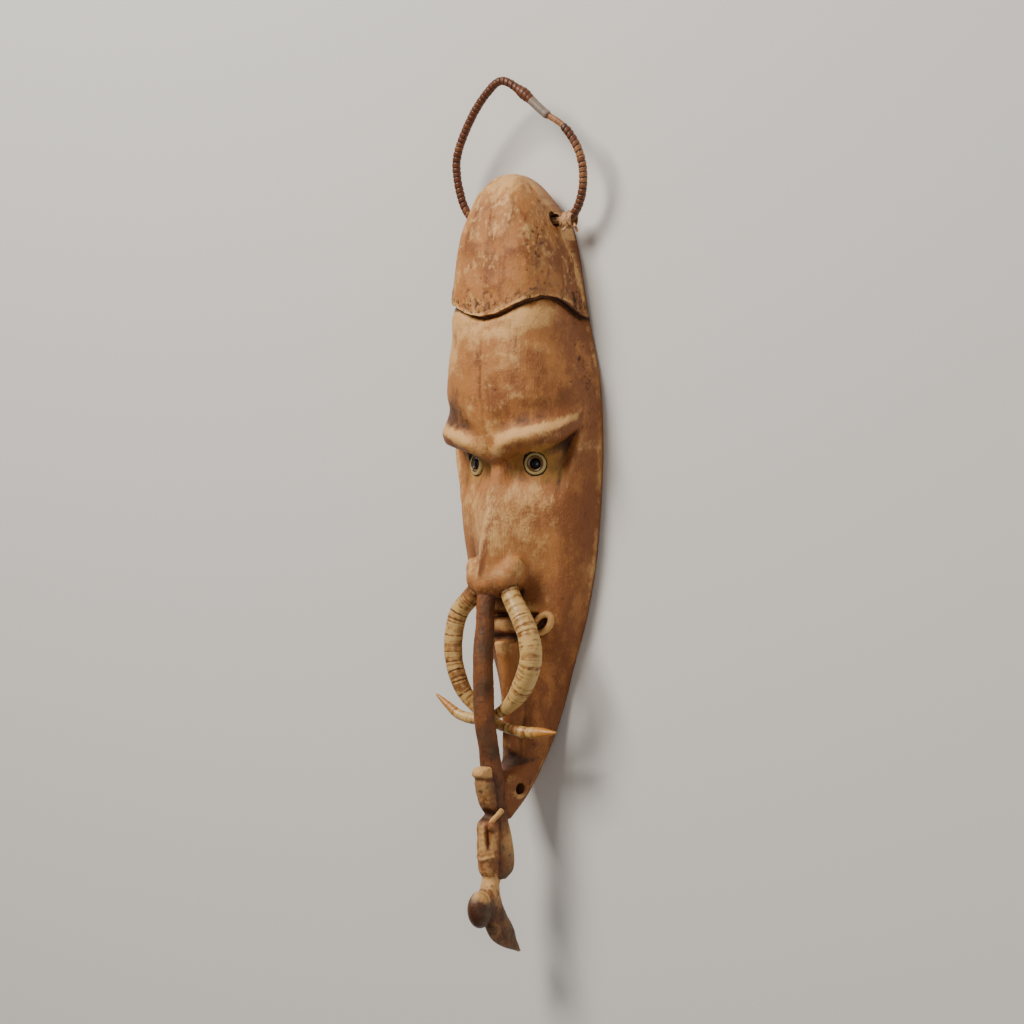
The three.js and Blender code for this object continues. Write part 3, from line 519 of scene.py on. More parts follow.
def upright(name, stations, sections, sides, middle_x=0, relief=None, square=1.0):
    """A carving that runs down y: at each height an oval with the middle and half-sizes that the
    stations give, squarer where square is below 1, and swollen by the relief, if any."""
    y = np.linspace(stations[0][0], stations[-1][0], sections)[:, None]
    turn = -circle(sides)[None, :]
    swell = 0 if relief is None else relief(turn, y)
    wide, deep = (np.sign(way) * np.abs(way) ** square for way in (np.sin(turn), np.cos(turn)))
    rings = spots_at(middle_x + (along(stations, y, 2) + swell) * wide, y,
                     along(stations, y, 1) + (along(stations, y, 3) + swell) * deep)
    top, foot = stations[0], stations[-1]
    return made(name, *skin(rings, [middle_x, top[0] + 1, top[1]], [middle_x, foot[0] - 1, foot[1]]))


def about(axis, angle):
    """The table of a turn by an angle about y or z."""
    c, s = np.cos(angle), np.sin(angle)
    return np.array([[c, 0, s], [0, 1, 0], [-s, 0, c]] if axis == "y" else [[c, -s, 0], [s, c, 0], [0, 0, 1]])


def ball(name, middle, size, turn=np.eye(3), sides=40, rows=24):
    """An ellipsoid of the given half-sizes, turned and set at its middle."""
    fall, go = np.linspace(0, np.pi, rows + 1)[1:-1, None], circle(sides)[None, :]
    rings = spots_at(np.sin(fall) * np.sin(go), np.cos(fall), np.sin(fall) * np.cos(go))
    points, faces = skin(rings[:, ::-1] * np.array(size), [0, size[1], 0], [0, -size[1], 0])
    return made(name, points @ turn.T + np.array(middle), faces)


def closed_faces(rows, count):
    """The faces of a grid that closes on itself both ways."""
    i, j = np.meshgrid(np.arange(rows), np.arange(count), indexing="ij")
    a, b = i * count + j, (i + 1) % rows * count + j
    c, d = (i + 1) % rows * count + (j + 1) % count, i * count + (j + 1) % count
    return np.stack([a, b, c, d], -1).reshape(-1, 4).tolist()


def rod_across(name, middle, radius, length, sides=40, rows=41):
    """A round peg along x, used to bore a hole."""
    x, turn = np.linspace(-0.5, 0.5, rows)[:, None] * length, circle(sides)[None, :]
    rings = spots_at(x, radius * np.sin(turn), radius * np.cos(turn))
    points, faces = skin(rings[:, ::-1], [-length / 2, 0, 0], [length / 2, 0, 0])
    return made(name, points + np.array(middle), faces)


def follow(points, t):
    """A smooth line through the points, at shares t of its length in points. Between two neighbours it
    is a cubic whose slopes weigh the gaps around them by their square roots, so it never loops."""
    p = np.array(points, float)
    p = np.concatenate([[2 * p[0] - p[1]], p, [2 * p[-1] - p[-2]]])
    place = np.clip(t, 0, 1) * (len(p) - 3)
    i = np.minimum(np.floor(place).astype(int), len(p) - 4)
    w = (place - i)[:, None]
    p0, p1, p2, p3 = p[i], p[i + 1], p[i + 2], p[i + 3]
    gap = np.sqrt(np.linalg.norm(np.diff(p, axis=0), axis=1))[:, None]
    d0, d1, d2 = gap[i], gap[i + 1], gap[i + 2]
    s1 = ((p1 - p0) / d0 - (p2 - p0) / (d0 + d1) + (p2 - p1) / d1) * d1
    s2 = ((p2 - p1) / d1 - (p3 - p1) / (d1 + d2) + (p3 - p2) / d2) * d1
    return p1 + s1 * w + (3 * p2 - 3 * p1 - 2 * s1 - s2) * w ** 2 + (2 * p1 - 2 * p2 + s1 + s2) * w ** 3


def bar(stations, sections, sides, extra=0.0, relief=None):
    """A round bar that follows stations [x, y, z, radius]: rings across the line, let out by extra and
    swollen by the relief, if any. Gives its points, faces and the length along it of each ring."""
    rows = np.array(stations, float)
    t, step = np.linspace(0, 1, sections + 1), 1e-4
    path = follow(rows[:, :3], t)
    radius = follow(np.stack([np.arange(len(rows)), rows[:, 3], 0 * rows[:, 3]], 1), t)[:, 1] + extra
    tangent = follow(rows[:, :3], t + step) - follow(rows[:, :3], t - step)
    tangent /= np.linalg.norm(tangent, axis=1, keepdims=True)
    across = np.cross(tangent, [0, 0, 1.0])
    across /= np.linalg.norm(across, axis=1, keepdims=True)
    up = np.cross(across, tangent)
    run = np.concatenate([[0], np.cumsum(np.linalg.norm(np.diff(path, axis=0), axis=1))])
    turn = circle(sides)[None, :]
    swell = radius[:, None] + (0 if relief is None else relief(turn, run[:, None]))
    rings = path[:, None] + swell[..., None] * (across[:, None] * np.sin(turn)[..., None]
                                                + up[:, None] * np.cos(turn)[..., None])
    first, last = path[0] - tangent[0] * (1 + extra), path[-1] + tangent[-1] * (1 + extra)
    return (*skin(rings, first, last), run)


def mirrored(points, faces):
    """The same skin seen in a mirror on the middle line of the face."""
    return np.asarray(points) * np.array([-1, 1, 1]), [face[::-1] for face in faces]


def joined(piece, other, work, mark):
    """Joins the other closed skin to the piece, or cuts it away, and marks the faces that come of it."""
    for each, number in ((piece, None), (other, mark)):
        if "made_from" not in each.data.attributes:
            each.data.attributes.new("made_from", "INT", "FACE")
        if number is not None:
            flags = np.full(len(each.data.polygons), number, np.int32)
            each.data.attributes["made_from"].data.foreach_set("value", flags)
    step = piece.modifiers.new("step", "BOOLEAN")
    step.solver, step.operation, step.object = "MANIFOLD", work, other
    bpy.context.view_layer.update()
    shape = bpy.data.meshes.new_from_object(piece.evaluated_get(bpy.context.evaluated_depsgraph_get()))
    piece.modifiers.clear()
    piece.data = shape
    bpy.data.objects.remove(other)


def read(items, field, width=1, dtype=np.float32):
    """A field of every vertex, edge or face as an array."""
    values = np.zeros(len(items) * width, dtype)
    items.foreach_get(field, values)
    return values.reshape(-1, width) if width > 1 else values


def spots_of(mesh):
    """Where a mesh's points are, in millimetres on the mask's axes."""
    return read(mesh.vertices, "co", 3).astype(float) / MM - MIDDLE


def spread(values, edges, count, passes):
    """Each vertex takes the mean of itself and its neighbours, so many times over."""
    degree = np.bincount(edges.ravel(), minlength=count).astype(float)
    for _ in range(passes):
        columns = values.reshape(count, -1)
        summed = np.stack([np.bincount(edges[:, 0], columns[edges[:, 1], k], count)
                           + np.bincount(edges[:, 1], columns[edges[:, 0], k], count)
                           for k in range(columns.shape[1])], 1)
        values = ((columns + summed) / (1 + degree[:, None])).reshape(values.shape)
    return values


def distance_from(start, spots, edges, reach):
    """Length along the edges from the marked vertices, up to a reach."""
    far = np.where(start, 0.0, reach)
    length = np.linalg.norm(spots[edges[:, 0]] - spots[edges[:, 1]], axis=1)
    for _ in range(24):
        before = far.copy()
        np.minimum.at(far, edges[:, 0], before[edges[:, 1]] + length)
        np.minimum.at(far, edges[:, 1], before[edges[:, 0]] + length)
        if np.array_equal(before, far):
            break
    return far


FRONT_COUNT, BACK_COUNT, ROWS = 190, 26, 330
END_INSET = [0.6, 0.4]
CHIN_END_RISE = 2
CROWDED_ROWS = ((CAP_EDGE_Y, 3, 3), (-88, 0.6, 24), (CAP_TOP_Y, 3, 3), (CHIN_TIP_Y, 3, 4))
heights = np.linspace(CHIN_TIP_Y + END_INSET[0], CAP_TOP_Y - END_INSET[1], 4000)
filled = np.cumsum(1 + sum(more * band(heights, at, half) for at, more, half in CROWDED_ROWS))
rows = np.interp(np.linspace(filled[0], filled[-1], ROWS), filled, heights)
mask = made("mask_carving", *skin(body_rings(rows, FRONT_COUNT, BACK_COUNT),
                                  [0, CHIN_TIP_Y, CHIN_TIP_Z + CHIN_END_RISE], [0, CAP_TOP_Y, CAP_TOP_Z]))

# The trunk with the bird on its end, from stations [y, z of the middle, half-width, half-depth]. A tail
# lies on the trunk above the bird, and a foot and a thin strut bridge the hollow between the two.
(BODY, TRUNK_PART, TAIL_PART, BIRD_PART, CREST_PART, FEATHER_PART, STRUT_PART, WING_PART, TIP_PART,
 CORNER_PART, CUT) = range(11)
TRUNK = [[-66, 66, 7, 6], [-76, 69, 7.4, 7.2], [-97, 71.2, 7.4, 7.4], [-125, 74, 8, 8],
         [-150, 73.4, 8.2, 8.2], [-176, 71.4, 8.2, 8.2], [-204, 65, 8.2, 8.4], [-228, 61, 9, 10],
         [-246, 58, 7, 9]]
TAIL = [[-212.5, 72.5, 5, 6], [-214, 74, 6.4, 7.8], [-219, 74.6, 6.8, 8.2], [-221.5, 72.5, 6.2, 7.4],
        [-226, 71, 7.2, 8.6], [-240, 67, 7, 8.2], [-250, 62, 5.5, 6], [-257, 60, 4, 4]]
BIRD = [[-244, 55, 4, 4], [-252, 62, 7.4, 7], [-258, 67, 9, 9.4], [-270, 67, 9.4, 9.6],
        [-285, 66, 9, 9.6], [-296, 64.5, 8.4, 9.6], [-301, 63, 7.4, 8], [-308, 65, 7.4, 8.4],
        [-318, 66, 8.4, 11], [-330, 60, 8.4, 12], [-343, 52, 7.2, 15], [-352, 46, 5.6, 14],
        [-358, 38, 4, 9.5], [-362.6, 28, 1.6, 2.4]]
BIRD_WING = [[-246, 56, 1.5, 2.4], [-256, 57, 3, 6], [-270, 55.5, 4.2, 9], [-286, 54, 4.6, 10.5],
             [-296, 55, 4.4, 9.6], [-302, 59, 3, 5]]
BIRD_WING_X = 6.8
TAIL_SQUARE = 0.72
CREST_AT = [0, -325.5, 77.4]
CREST_SIZE = [9.5, 15, 11.5]
CAVITY_AT = [1, -250.5, 71]
CAVITY_SIZE = [8.5, 5, 6]
FOOT_AT = [8, -260, 72.5]
FOOT_SIZE = [3.4, 4, 3.4]
STRUT = [[10.5, -247, 63, 2.4], [10, -251, 68, 2.1], [7, -256, 71.5, 2.2], [6, -262, 72, 1.6]]
KNIFE_DEPTH = 0.8
KNIFE_CHIPS = 0.3
BELLY_SLOT = {"depth": 3.4, "at": 0.66, "half": 0.2}
COLLAR = {"height": 1.3, "at": -286.5, "half": 1.5, "drop": 3}
BEAK_GROOVE = {"depth": 0.8, "at": 1.2, "half": 0.14}


def knife_marks(turn, y):
    """Uneven flats left by the knife, rounded together."""
    spots = spots_at(8 * np.sin(turn), y, 8 * np.cos(turn))
    return KNIFE_DEPTH * cloud(spots, [7, 16, 7], 21, 3) + KNIFE_CHIPS * cloud(spots, [2.2, 2.2, 2.2], 24, 2)


def bird_carving(turn, y):
    """The bird's body: a deep slot on each side of the belly, a raised collar under it and a groove
    along each side of the beak."""
    aside = np.abs((turn + np.pi) % (2 * np.pi) - np.pi)
    slot, groove = (-cut["depth"] * band(aside, cut["at"], cut["half"]) for cut in (BELLY_SLOT, BEAK_GROOVE))
    slot = slot * ease(-282, -272, y) * (1 - ease(-266, -256, y))
    groove = groove * (1 - ease(-340, -334, y)) * ease(-358, -350, y)
    collar = COLLAR["height"] * band(y, COLLAR["at"] + COLLAR["drop"] * np.abs(np.sin(turn)), COLLAR["half"])
    collar = collar * (0.35 + 0.65 * np.abs(np.cos(turn)))
    return knife_marks(turn, y) + (slot + collar + groove) * ease(-359, -350, y)


joined(mask, upright("trunk", TRUNK, 130, 40, relief=knife_marks), "UNION", TRUNK_PART)
joined(mask, upright("tail", TAIL, 70, 44, relief=knife_marks, square=TAIL_SQUARE), "UNION", TAIL_PART)
joined(mask, upright("bird", BIRD, 170, 52, relief=bird_carving), "UNION", BIRD_PART)
joined(mask, ball("crest", CREST_AT, CREST_SIZE), "UNION", CREST_PART)

# The nose's wings, the lobes that lead them into its tip, and the corners of the mouth, each a curled
# ring that is tilted outwards at the top and lies on the slope of the cheek.
WING_AT = [13.5, -61, 58]
WING_SIZE = [10.5, 18, 11.5]
LOBE_AT = [10.5, -64, 62]
LOBE_SIZE = [12, 15, 12]
WING_TURN = -0.62
TIP_AT = [0, -64.5, 67.5]
TIP_SIZE = [13.5, 14, 12.5]
CORNER_AT = [30, -99, 35.8]
CORNER_SIZE = [5.6, 9]
CORNER_THICK = 2.9
CORNER_UNEVEN = [0.8, 0.34, 0.4]
CORNER_WALL = 2.8
CORNER_HOLLOW_DEPTH = 7
CORNER_TILT = 0.7
CORNER_LEAN = 0.62
CORNER_STEPS = [48, 20]


def on_side(place, side):
    """The same place on the mask's left (1) or right (-1)."""
    return np.array(place) * [side, 1, 1]


def corner_turn(side):
    """How a corner of the mouth is turned: tilted in its own plane, then leaned back with the cheek."""
    return about("y", side * CORNER_LEAN) @ about("z", -side * CORNER_TILT)


def curled_ring(name, side):
    """A round bar bent into an oval ring, thicker on one side."""
    go, roll = np.meshgrid(*map(circle, CORNER_STEPS), indexing="ij")
    plain, more, start = CORNER_UNEVEN
    thick = CORNER_THICK * (plain + more * np.sin(go + start))
    wide, long = (half + thick * np.cos(roll) for half in CORNER_SIZE)
    points = np.stack([wide * np.cos(go), long * np.sin(go), thick * np.sin(roll)], -1).reshape(-1, 3)
    return made(name, points @ corner_turn(side).T + on_side(CORNER_AT, side), closed_faces(*CORNER_STEPS))


for side in (1, -1):
    joined(mask, upright("feather", BIRD_WING, 46, 28, BIRD_WING_X * side), "UNION", FEATHER_PART)
    for name, at, size in (("wing", WING_AT, WING_SIZE), ("lobe", LOBE_AT, LOBE_SIZE)):
        joined(mask, ball(name, on_side(at, side), size, about("z", side * WING_TURN)), "UNION", WING_PART)
    joined(mask, curled_ring("corner", side), "UNION", CORNER_PART)
    size = [*(half - CORNER_WALL for half in CORNER_SIZE), CORNER_HOLLOW_DEPTH]
    joined(mask, ball("hollow", on_side(CORNER_AT, side), size, corner_turn(side)), "DIFFERENCE", CUT)
joined(mask, ball("tip", TIP_AT, TIP_SIZE), "UNION", TIP_PART)
joined(mask, ball("cavity", CAVITY_AT, CAVITY_SIZE), "DIFFERENCE", CUT)
joined(mask, ball("foot", FOOT_AT, FOOT_SIZE), "UNION", FEATHER_PART)
joined(mask, made("strut", *bar(STRUT, 30, 16)[:2]), "UNION", STRUT_PART)

# What is bored: the tusks' holes in the nostrils, the holes through the chin and the cap's sides, which
# open into a sunk mouth, and a seat for each eye. A tusk is given as [x, y, z, radius] from its root.
LEFT_TUSK = [[13, -66, 60, 7.6], [19, -78, 60.8, 8], [29.2, -93, 62, 8.6], [37.4, -108, 63, 9],
             [39.8, -126, 63, 9.2], [30.4, -147, 61, 8.8], [17, -162, 59.4, 6.6], [0, -171.6, 58.6, 4.4],
             [-15, -175.2, 61.6, 4.7], [-33, -172, 63, 4.4], [-43.4, -165, 64, 3.4],
             [-54.5, -156.6, 65, 1.2]]
RIGHT_TUSK = [[13, -66, 60, 7.4], [21, -77, 62, 7.8], [33, -90, 63, 7.9], [38, -110, 64, 7.8],
              [37.6, -128, 64, 7.6], [34, -144, 62, 7.2], [29, -157, 58, 6.4], [15, -173.4, 50.8, 5],
              [0, -180.4, 50.6, 4.4], [-22, -185, 49.6, 5], [-40, -185, 49.6, 4.4], [-54.5, -184.4, 50, 1.2]]
FIT_GAP = 0.35
CHIN_HOLE_RADIUS = 4.6
CHIN_HOLE_LONG = 60
HOLE_Y = 224
HOLE_Z = 20
HOLE_RADIUS = 5.4
HOLE_MIDDLE_X = 34
HOLE_LONG = 40
HOLE_MOUTH_AT = [36, HOLE_Y + 1, HOLE_Z + 6]
HOLE_MOUTH_SIZE = [7, 7.5, 5.5]
EYE_AT = [30, 29, 44.5]
EYE_TURN = 0.4
EYE_RADIUS = 9
EYE_THICK = 4
EYE_BORE = 4
EYE_SUNK = 2.6
SEAT_GAP = 0.3
SEAT_LONG = 16


def turned(name, profile, side, sides=64, lower=0.0):
    """A turned piece for an eye: its profile of [radius, height] swept round the eye's own axis, which
    stands out of the socket and leans away from the nose. The profile closes on itself."""
    rows, go = np.array(profile, float), circle(sides)[:, None]
    r, h = rows[None, :, 0], rows[None, :, 1] - EYE_SUNK - lower
    points = spots_at(r * np.cos(go), r * np.sin(go), h) @ about("y", side * EYE_TURN).T
    points = points + on_side(EYE_AT, side)
    piece = made(name, points.reshape(-1, 3), closed_faces(sides, len(rows)))
    tidy_skin(piece)
    return piece


def tidy_skin(piece):
    """Merges points that meet on an axis, drops faces with no area and turns all faces outwards."""
    work = bmesh.new()
    work.from_mesh(piece.data)
    bmesh.ops.remove_doubles(work, verts=work.verts, dist=1e-6)
    bmesh.ops.dissolve_degenerate(work, edges=work.edges, dist=1e-7)
    bmesh.ops.recalc_face_normals(work, faces=work.faces)
    work.to_mesh(piece.data)
    work.free()


bores = [bar(LEFT_TUSK, 90, 32, FIT_GAP)[:2], mirrored(*bar(RIGHT_TUSK, 90, 32, FIT_GAP)[:2])]
for points, faces in bores:
    joined(mask, made("bore", points, faces), "DIFFERENCE", CUT)
joined(mask, rod_across("bore", CHIN_HOLE_AT, CHIN_HOLE_RADIUS, CHIN_HOLE_LONG), "DIFFERENCE", CUT)
seat_radius = EYE_RADIUS + SEAT_GAP
seat = [[0, 0], [seat_radius, 0], [seat_radius, SEAT_LONG], [0, SEAT_LONG]]
for side in (1, -1):
    hole = on_side([HOLE_MIDDLE_X, HOLE_Y, HOLE_Z], side)
    joined(mask, rod_across("bore", hole, HOLE_RADIUS, HOLE_LONG), "DIFFERENCE", CUT)
    joined(mask, ball("mouth", on_side(HOLE_MOUTH_AT, side), HOLE_MOUTH_SIZE), "DIFFERENCE", CUT)
    joined(mask, turned("bore", seat, side, lower=SEAT_GAP), "DIFFERENCE", CUT)

# The seams between head, nose, trunk and bird are carved round. The surface takes its colour from its
# shape: worn tops are pale, hollows are darker, and old paint stays in the sockets. Painted highlights and
# shade lie on the brows and nose, a painted shadow lies under the cap's edge, and the bored holes are painted
# dark.
ROUNDED_MM = np.array([99, 1.4, 1.2, 6, 7, 1.6, 0.9, 8, 8, 2.6, 99])
CUT_ROUNDED_MM = 1.2
CUT_PASSES = 3
SEAM_PASSES = [2, 1.3]
SEAM_PULL = 0.7
HOLLOW_PASSES = [3, 40]
HOLLOW_SMOOTH = 2


def finish_surface(mesh):
    """Rounds off the seams between the joined forms, then returns spots in millimetres on the mask's
    axes, each vertex's part, its normal, and how far it stands above (-) or below (+) its surroundings,
    seen closely and broadly."""
    spots = spots_of(mesh)
    edges = read(mesh.edges, "vertices", 2, np.int32)
    loops = read(mesh.loops, "vertex_index", 1, np.int32)
    sizes = read(mesh.polygons, "loop_total", 1, np.int32)
    corner_part = np.repeat(read(mesh.attributes["made_from"].data, "value", 1, np.int32), sizes)
    lowest, highest = np.full(len(spots), CUT + 1), np.full(len(spots), -1)
    np.minimum.at(lowest, loops, corner_part)
    np.maximum.at(highest, loops, corner_part)
    meets = lowest != highest
    rounded = np.minimum(ROUNDED_MM[lowest], ROUNDED_MM[highest])
    work = [(meets & (rounded == reach) & (highest != CUT), reach,
             SEAM_PASSES[0] + int(SEAM_PASSES[1] * reach ** 2))
            for reach in np.unique(ROUNDED_MM[1:-1])]
    work.append((meets & (highest == CUT), CUT_ROUNDED_MM, CUT_PASSES))
    for start, reach, passes in work:
        weight = (1 - distance_from(start, spots, edges, reach) / reach)[:, None]
        for _ in range(passes):
            spots = spots + weight * SEAM_PULL * (spread(spots, edges, len(spots), 1) - spots)
    mesh.vertices.foreach_set("co", ((spots + MIDDLE) * MM).astype(np.float32).ravel())
    mesh.update()
    normal = read(mesh.vertex_normals, "vector", 3).astype(float)
    hollows = []
    for passes in HOLLOW_PASSES:
        sunk = np.sum((spread(spots, edges, len(spots), passes) - spots) * normal, 1)
        hollows.append(spread(sunk, edges, len(spots), HOLLOW_SMOOTH))
    return spots, lowest, normal, *hollows


def keep(mesh, name, values):
    """Stores one value for each vertex under a name that the materials read."""
    field = mesh.attributes.get(name) or mesh.attributes.new(name, "FLOAT", "POINT")
    field.data.foreach_set("value", np.clip(values, 0, 1).astype(np.float32))


def mixed(layers, shares):
    """The sum of the named layers, each as strong as its share."""
    return sum(share * layers[name] for name, share in shares.items())


CHANCE = {"patches": ([34, 40, 34], 31, 4), "mottle": ([9, 13, 9], 32, 4),
          "speckle": ([2.4, 3.0, 2.4], 33, 2), "streaks": ([3.5, 44, 8], 34, 3),
          "smears": ([26, 9, 26], 35, 3),
          "washes": ([26, 30, 26], 41, 4),
          "soot": ([20, 30, 20], 43, 4), "mauve": ([11, 18, 11], 45, 3), "rubbed": ([16, 8, 16], 46, 4)}
spots, part, normal, fine_hollow, broad_hollow = finish_surface(mask.data)
x, y, z = spots.T
layers = {name: cloud(spots, *how) for name, how in CHANCE.items()}
mottle, speckle, smears = layers["mottle"], layers["speckle"], layers["smears"]
across = np.abs(np.arctan2(x, np.maximum(z, 1))) * ROUND_FACE
signed = np.sign(x) * across
edge_y = CAP_EDGE_Y + SCALLOP * np.sin(np.pi * np.clip(across / 94, 0, 1)) ** 2
above_cap, head, bird = y > edge_y, part == BODY, part == BIRD_PART
tail, crest = part == TAIL_PART, part == CREST_PART
face, upper_face = head * (1 - above_cap), y > 40
body_part = bird | (part == FEATHER_PART)
nose_end = (part == WING_PART) | (part == TIP_PART)
# How much darker a spot is for lying in a hollow, seen closely and broadly; less beside the nose's end and at
# eye level.
darkening = np.clip(fine_hollow * 5, 0, 0.9) + np.clip(broad_hollow * 0.3, 0, 0.3)
darkening = darkening * (1 - 0.85 * band(y, -74, 18) * head * (across > 22)) * (1 - 0.6 * band(y, 28, 16) * head)
_, facet_gap, facet_own = cells(bent(signed, y), y, ADZE_CUTS["cell"], ADZE_CUTS["seed"])
brow_line = BROW_ROOT_Y + along(BROW_CLIMB, across) - y
brow_long = across < BROW_TIP
# Painted shade: the underside of the brow roll, made darker and redder.
brow_painted_shade = band(brow_line, 6, 6) * brow_long * ease(4, 16, across)
ridge = band(y, -50, 36) * (z > 50) * (0.9 + 0.8 * mottle)
groove_line, groove_long = signed + 1 + 3 * mottle, band(y, 94, 34) * face
below_edge = edge_y - y
# How far a painted shadow reaches down the forehead under the cap's edge: widest on the mask's right and at
# its left rim.
painted_shadow_below_cap = 2.4 + 9 * band(signed, -44, 16) + 5 * band(signed, 66, 9)
beak, neck, low = bird * (y < -300), band(y, -304, 9), 1 - ease(-78, -58, y)

# What can lie on the wood, and the painted highlights and shade, each from 0 or -1 to about 1.
layers |= {
    "all": np.ones(len(y)), "cut": part == CUT, "strut": part == STRUT_PART, "tail": tail,
    "nose_end": nose_end,
    "carried": body_part | crest | (part == TRUNK_PART), "inside": (normal[:, 2] < -0.15) * head * (z < 60),
    "worn": np.clip(-broad_hollow * 0.9, -0.6, 1.4), "darkening": darkening, "grime": np.maximum(0, speckle),
    "low": low,
    "forehead": face * ease(84, 132, y) * (1 - ease(34, 62, across)), "smeared": face * smears * upper_face,
    "facets": above_cap * ease(0.05, 0.5, facet_gap) * (0.4 + facet_own), "cap": above_cap,
    "cap_speckle": above_cap * speckle, "cap_gaps": above_cap * bell(facet_gap / 0.16),
    # On this line, painted shade under the brows; on the next, a painted highlight along their tops.
    "cap_mauve": above_cap * layers["mauve"], "brow_painted_shade": brow_painted_shade, "face_painted_shade_under_brow": face * brow_painted_shade,
    "brow_painted_highlight": band(brow_line, -5, 4) * brow_long * ease(8, 20, across),
    "brow_seam": bell((brow_line + 1 + 3 * mottle) / 1.6) * brow_long * ease(14, 24, across),
    "nose": head * patch(x, y, [0, -28], [30, 56]), "temple": face * ease(40, 66, signed),
    "side": ease(44, 70, signed), "lower_side": face * ease(44, 74, signed) * (y < 60),
    "jaw": face * (1 - ease(-140, -70, y)), "red_jaw": face * (1 - ease(-190, -120, y)),
    # Down the nose ridge, here and on the next line: a painted highlight on its flank toward the mask's
    # right, painted shade along its crest and other flank, and its own red-brown.
    "dark_jaw": face * (1 - ease(-190, -110, y)), "ridge_painted_highlight": ridge * band(x, -4.5, 2.6),
    "ridge_shade": ridge * band(x, 1, 3.4), "ridge_red": ridge * band(x, 1, 3.2),
    "column": patch(x, y, [0, -135], [11, 34]) * (z > 38), "corner": part == CORNER_PART,
    "hole_lip": head * chin_hole_lip(y, z) * (0.8 + mottle),
    "rubs": face * np.maximum(0, layers["rubbed"]) * upper_face,
    "groove_red": bell(groove_line / 1.6) * groove_long * (0.8 + mottle),
    "groove": bell(groove_line / 0.7) * groove_long,
    "sooty": np.maximum(0, layers["soot"]) * (1 - 0.7 * ease(26, 44, signed)),
    "dots": np.maximum(0, speckle - 0.3),
    "right_temple": patch(x, y, [-34, 74], [18, 18]) * (0.8 + 0.9 * mottle),
    # Painted shadow: a dark band on the forehead right under the cap's edge.
    "painted_shadow_below_cap": face * ease(0, 0.8, below_edge) * (1 - ease(painted_shadow_below_cap - 1.5, painted_shadow_below_cap + 1,
                                                            below_edge + mottle)),
    "worm_holes": head * pits(signed, y, above_cap) * (z > 3),
    "edge_grime": above_cap * band(y, edge_y + 6, 8) * (0.4 + 1.2 * speckle),
    "side_grime": above_cap * band(signed, CRUST_AT[0], 8) * (0.4 + 1.2 * speckle),
    # Grime specks on the nose's wings and tip, and painted shade on their lower part.
    "nose_grime": nose_end * np.maximum(0, speckle), "nose_painted_shade": nose_end * low,
    "body": body_part * band(y, -272, 22), "beak_flecks": beak * (0.5 + 0.8 * speckle + 0.5 * smears),
    "beak_shade": beak * (1 - neck), "neck": neck * bird, "tail_knob": ease(-223, -218, y), "crest": crest,
    "neck_flow": bell((y + 318 + 0.8 * (z - 66)) / 9) * bird * (y < -306), "feather": part == FEATHER_PART,
    "crest_top": crest * ease(-320, -312, y + 0.5 * x + 6 * mottle),
    "knot": band(y, -251, 5) * (z > 58) * ((part == TRUNK_PART) | bird | tail),
}

# How strongly each shows in the pale, red and dark coats: first on the whole carving, then on its parts.
COATS = {
    "all": {"pale": {"all": 0.12, "patches": 0.5, "mottle": 0.5, "speckle": 0.3, "worn": 0.5, "forehead": 0.4,
                     "smeared": 0.65, "facets": 0.2, "cap": -0.05, "cap_speckle": 0.4, "brow_painted_highlight": 0.8,
                     "nose": 0.5, "temple": -0.45, "face_painted_shade_under_brow": -0.5, "jaw": -0.4, "ridge_painted_highlight": 0.35,
                     "ridge_shade": -0.55, "column": 0.5, "corner": 0.8, "hole_lip": 0.55},
            "red": {"all": 0.35, "washes": 0.8, "mottle": 0.45, "streaks": 0.3, "cap_gaps": 0.45,
                    "cap": -0.25, "cap_speckle": 0.3, "cap_mauve": 0.5,
                    "brow_seam": 0.9, "ridge_red": 0.75, "corner": -0.5,
                    "groove_red": 0.7, "rubs": 0.5, "brow_painted_shade": 0.3, "side": 0.4, "red_jaw": 0.5},
            "dark": {"darkening": 1, "sooty": 0.5, "dots": 0.7, "right_temple": 1.1, "lower_side": 0.12,
                     "dark_jaw": 0.12, "groove": 0.3, "painted_shadow_below_cap": 1.6, "worm_holes": 0.75, "edge_grime": 0.5,
                     "side_grime": 0.35, "nose_grime": 0.35, "nose_painted_shade": 0.45, "brow_seam": 0.25}},
    # The nose's wings and tip: paler all over as a painted highlight on their tops, darker and redder low
    # down as painted shade.
    "nose_end": {"pale": {"all": 0.5, "mottle": 0.5, "speckle": 0.5, "low": -0.5},
                 "red": {"all": 0.4, "mottle": 0.6, "speckle": 0.6, "low": 0.4}},
    "carried": {"pale": {"all": -0.55, "mottle": 0.6, "speckle": 0.4, "worn": 0.6, "body": 0.75,
                         "beak_flecks": 1, "neck": 1.1, "crest_top": 1.3, "neck_flow": 0.8},
                "red": {"all": 1.2, "mottle": 0.5, "body": -0.45},
                "dark": {"all": 0.7, "darkening": 1, "grime": 0.5, "mottle": 0.6, "body": -0.4, "beak_shade": 0.1,
                         "crest": 0.6, "feather": 0.2, "crest_top": -0.9, "neck": -0.3, "knot": 0.9}},
    "tail": {"pale": {"mottle": 0.5, "speckle": 0.5, "worn": 0.5, "tail_knob": 0.7},
             "red": {"all": 0.95, "mottle": 0.6, "tail_knob": -0.5},
             "dark": {"all": 0.4, "darkening": 1, "grime": 0.5, "mottle": 0.6, "tail_knob": -0.3, "knot": 0.9}},
    "strut": {"pale": {"all": 0.9, "speckle": 0.4}},
    "inside": {"pale": {"all": 0.15, "streaks": 0.3}, "dark": {"all": 0.3, "patches": 0.4, "mottle": 0.4}},
    # Painted shade: the walls of every bored hole and sunk hollow are painted fully dark.
    "cut": {"dark": {"all": 1}},
}
coats = {"pale": 0, "red": 0, "dark": 0}
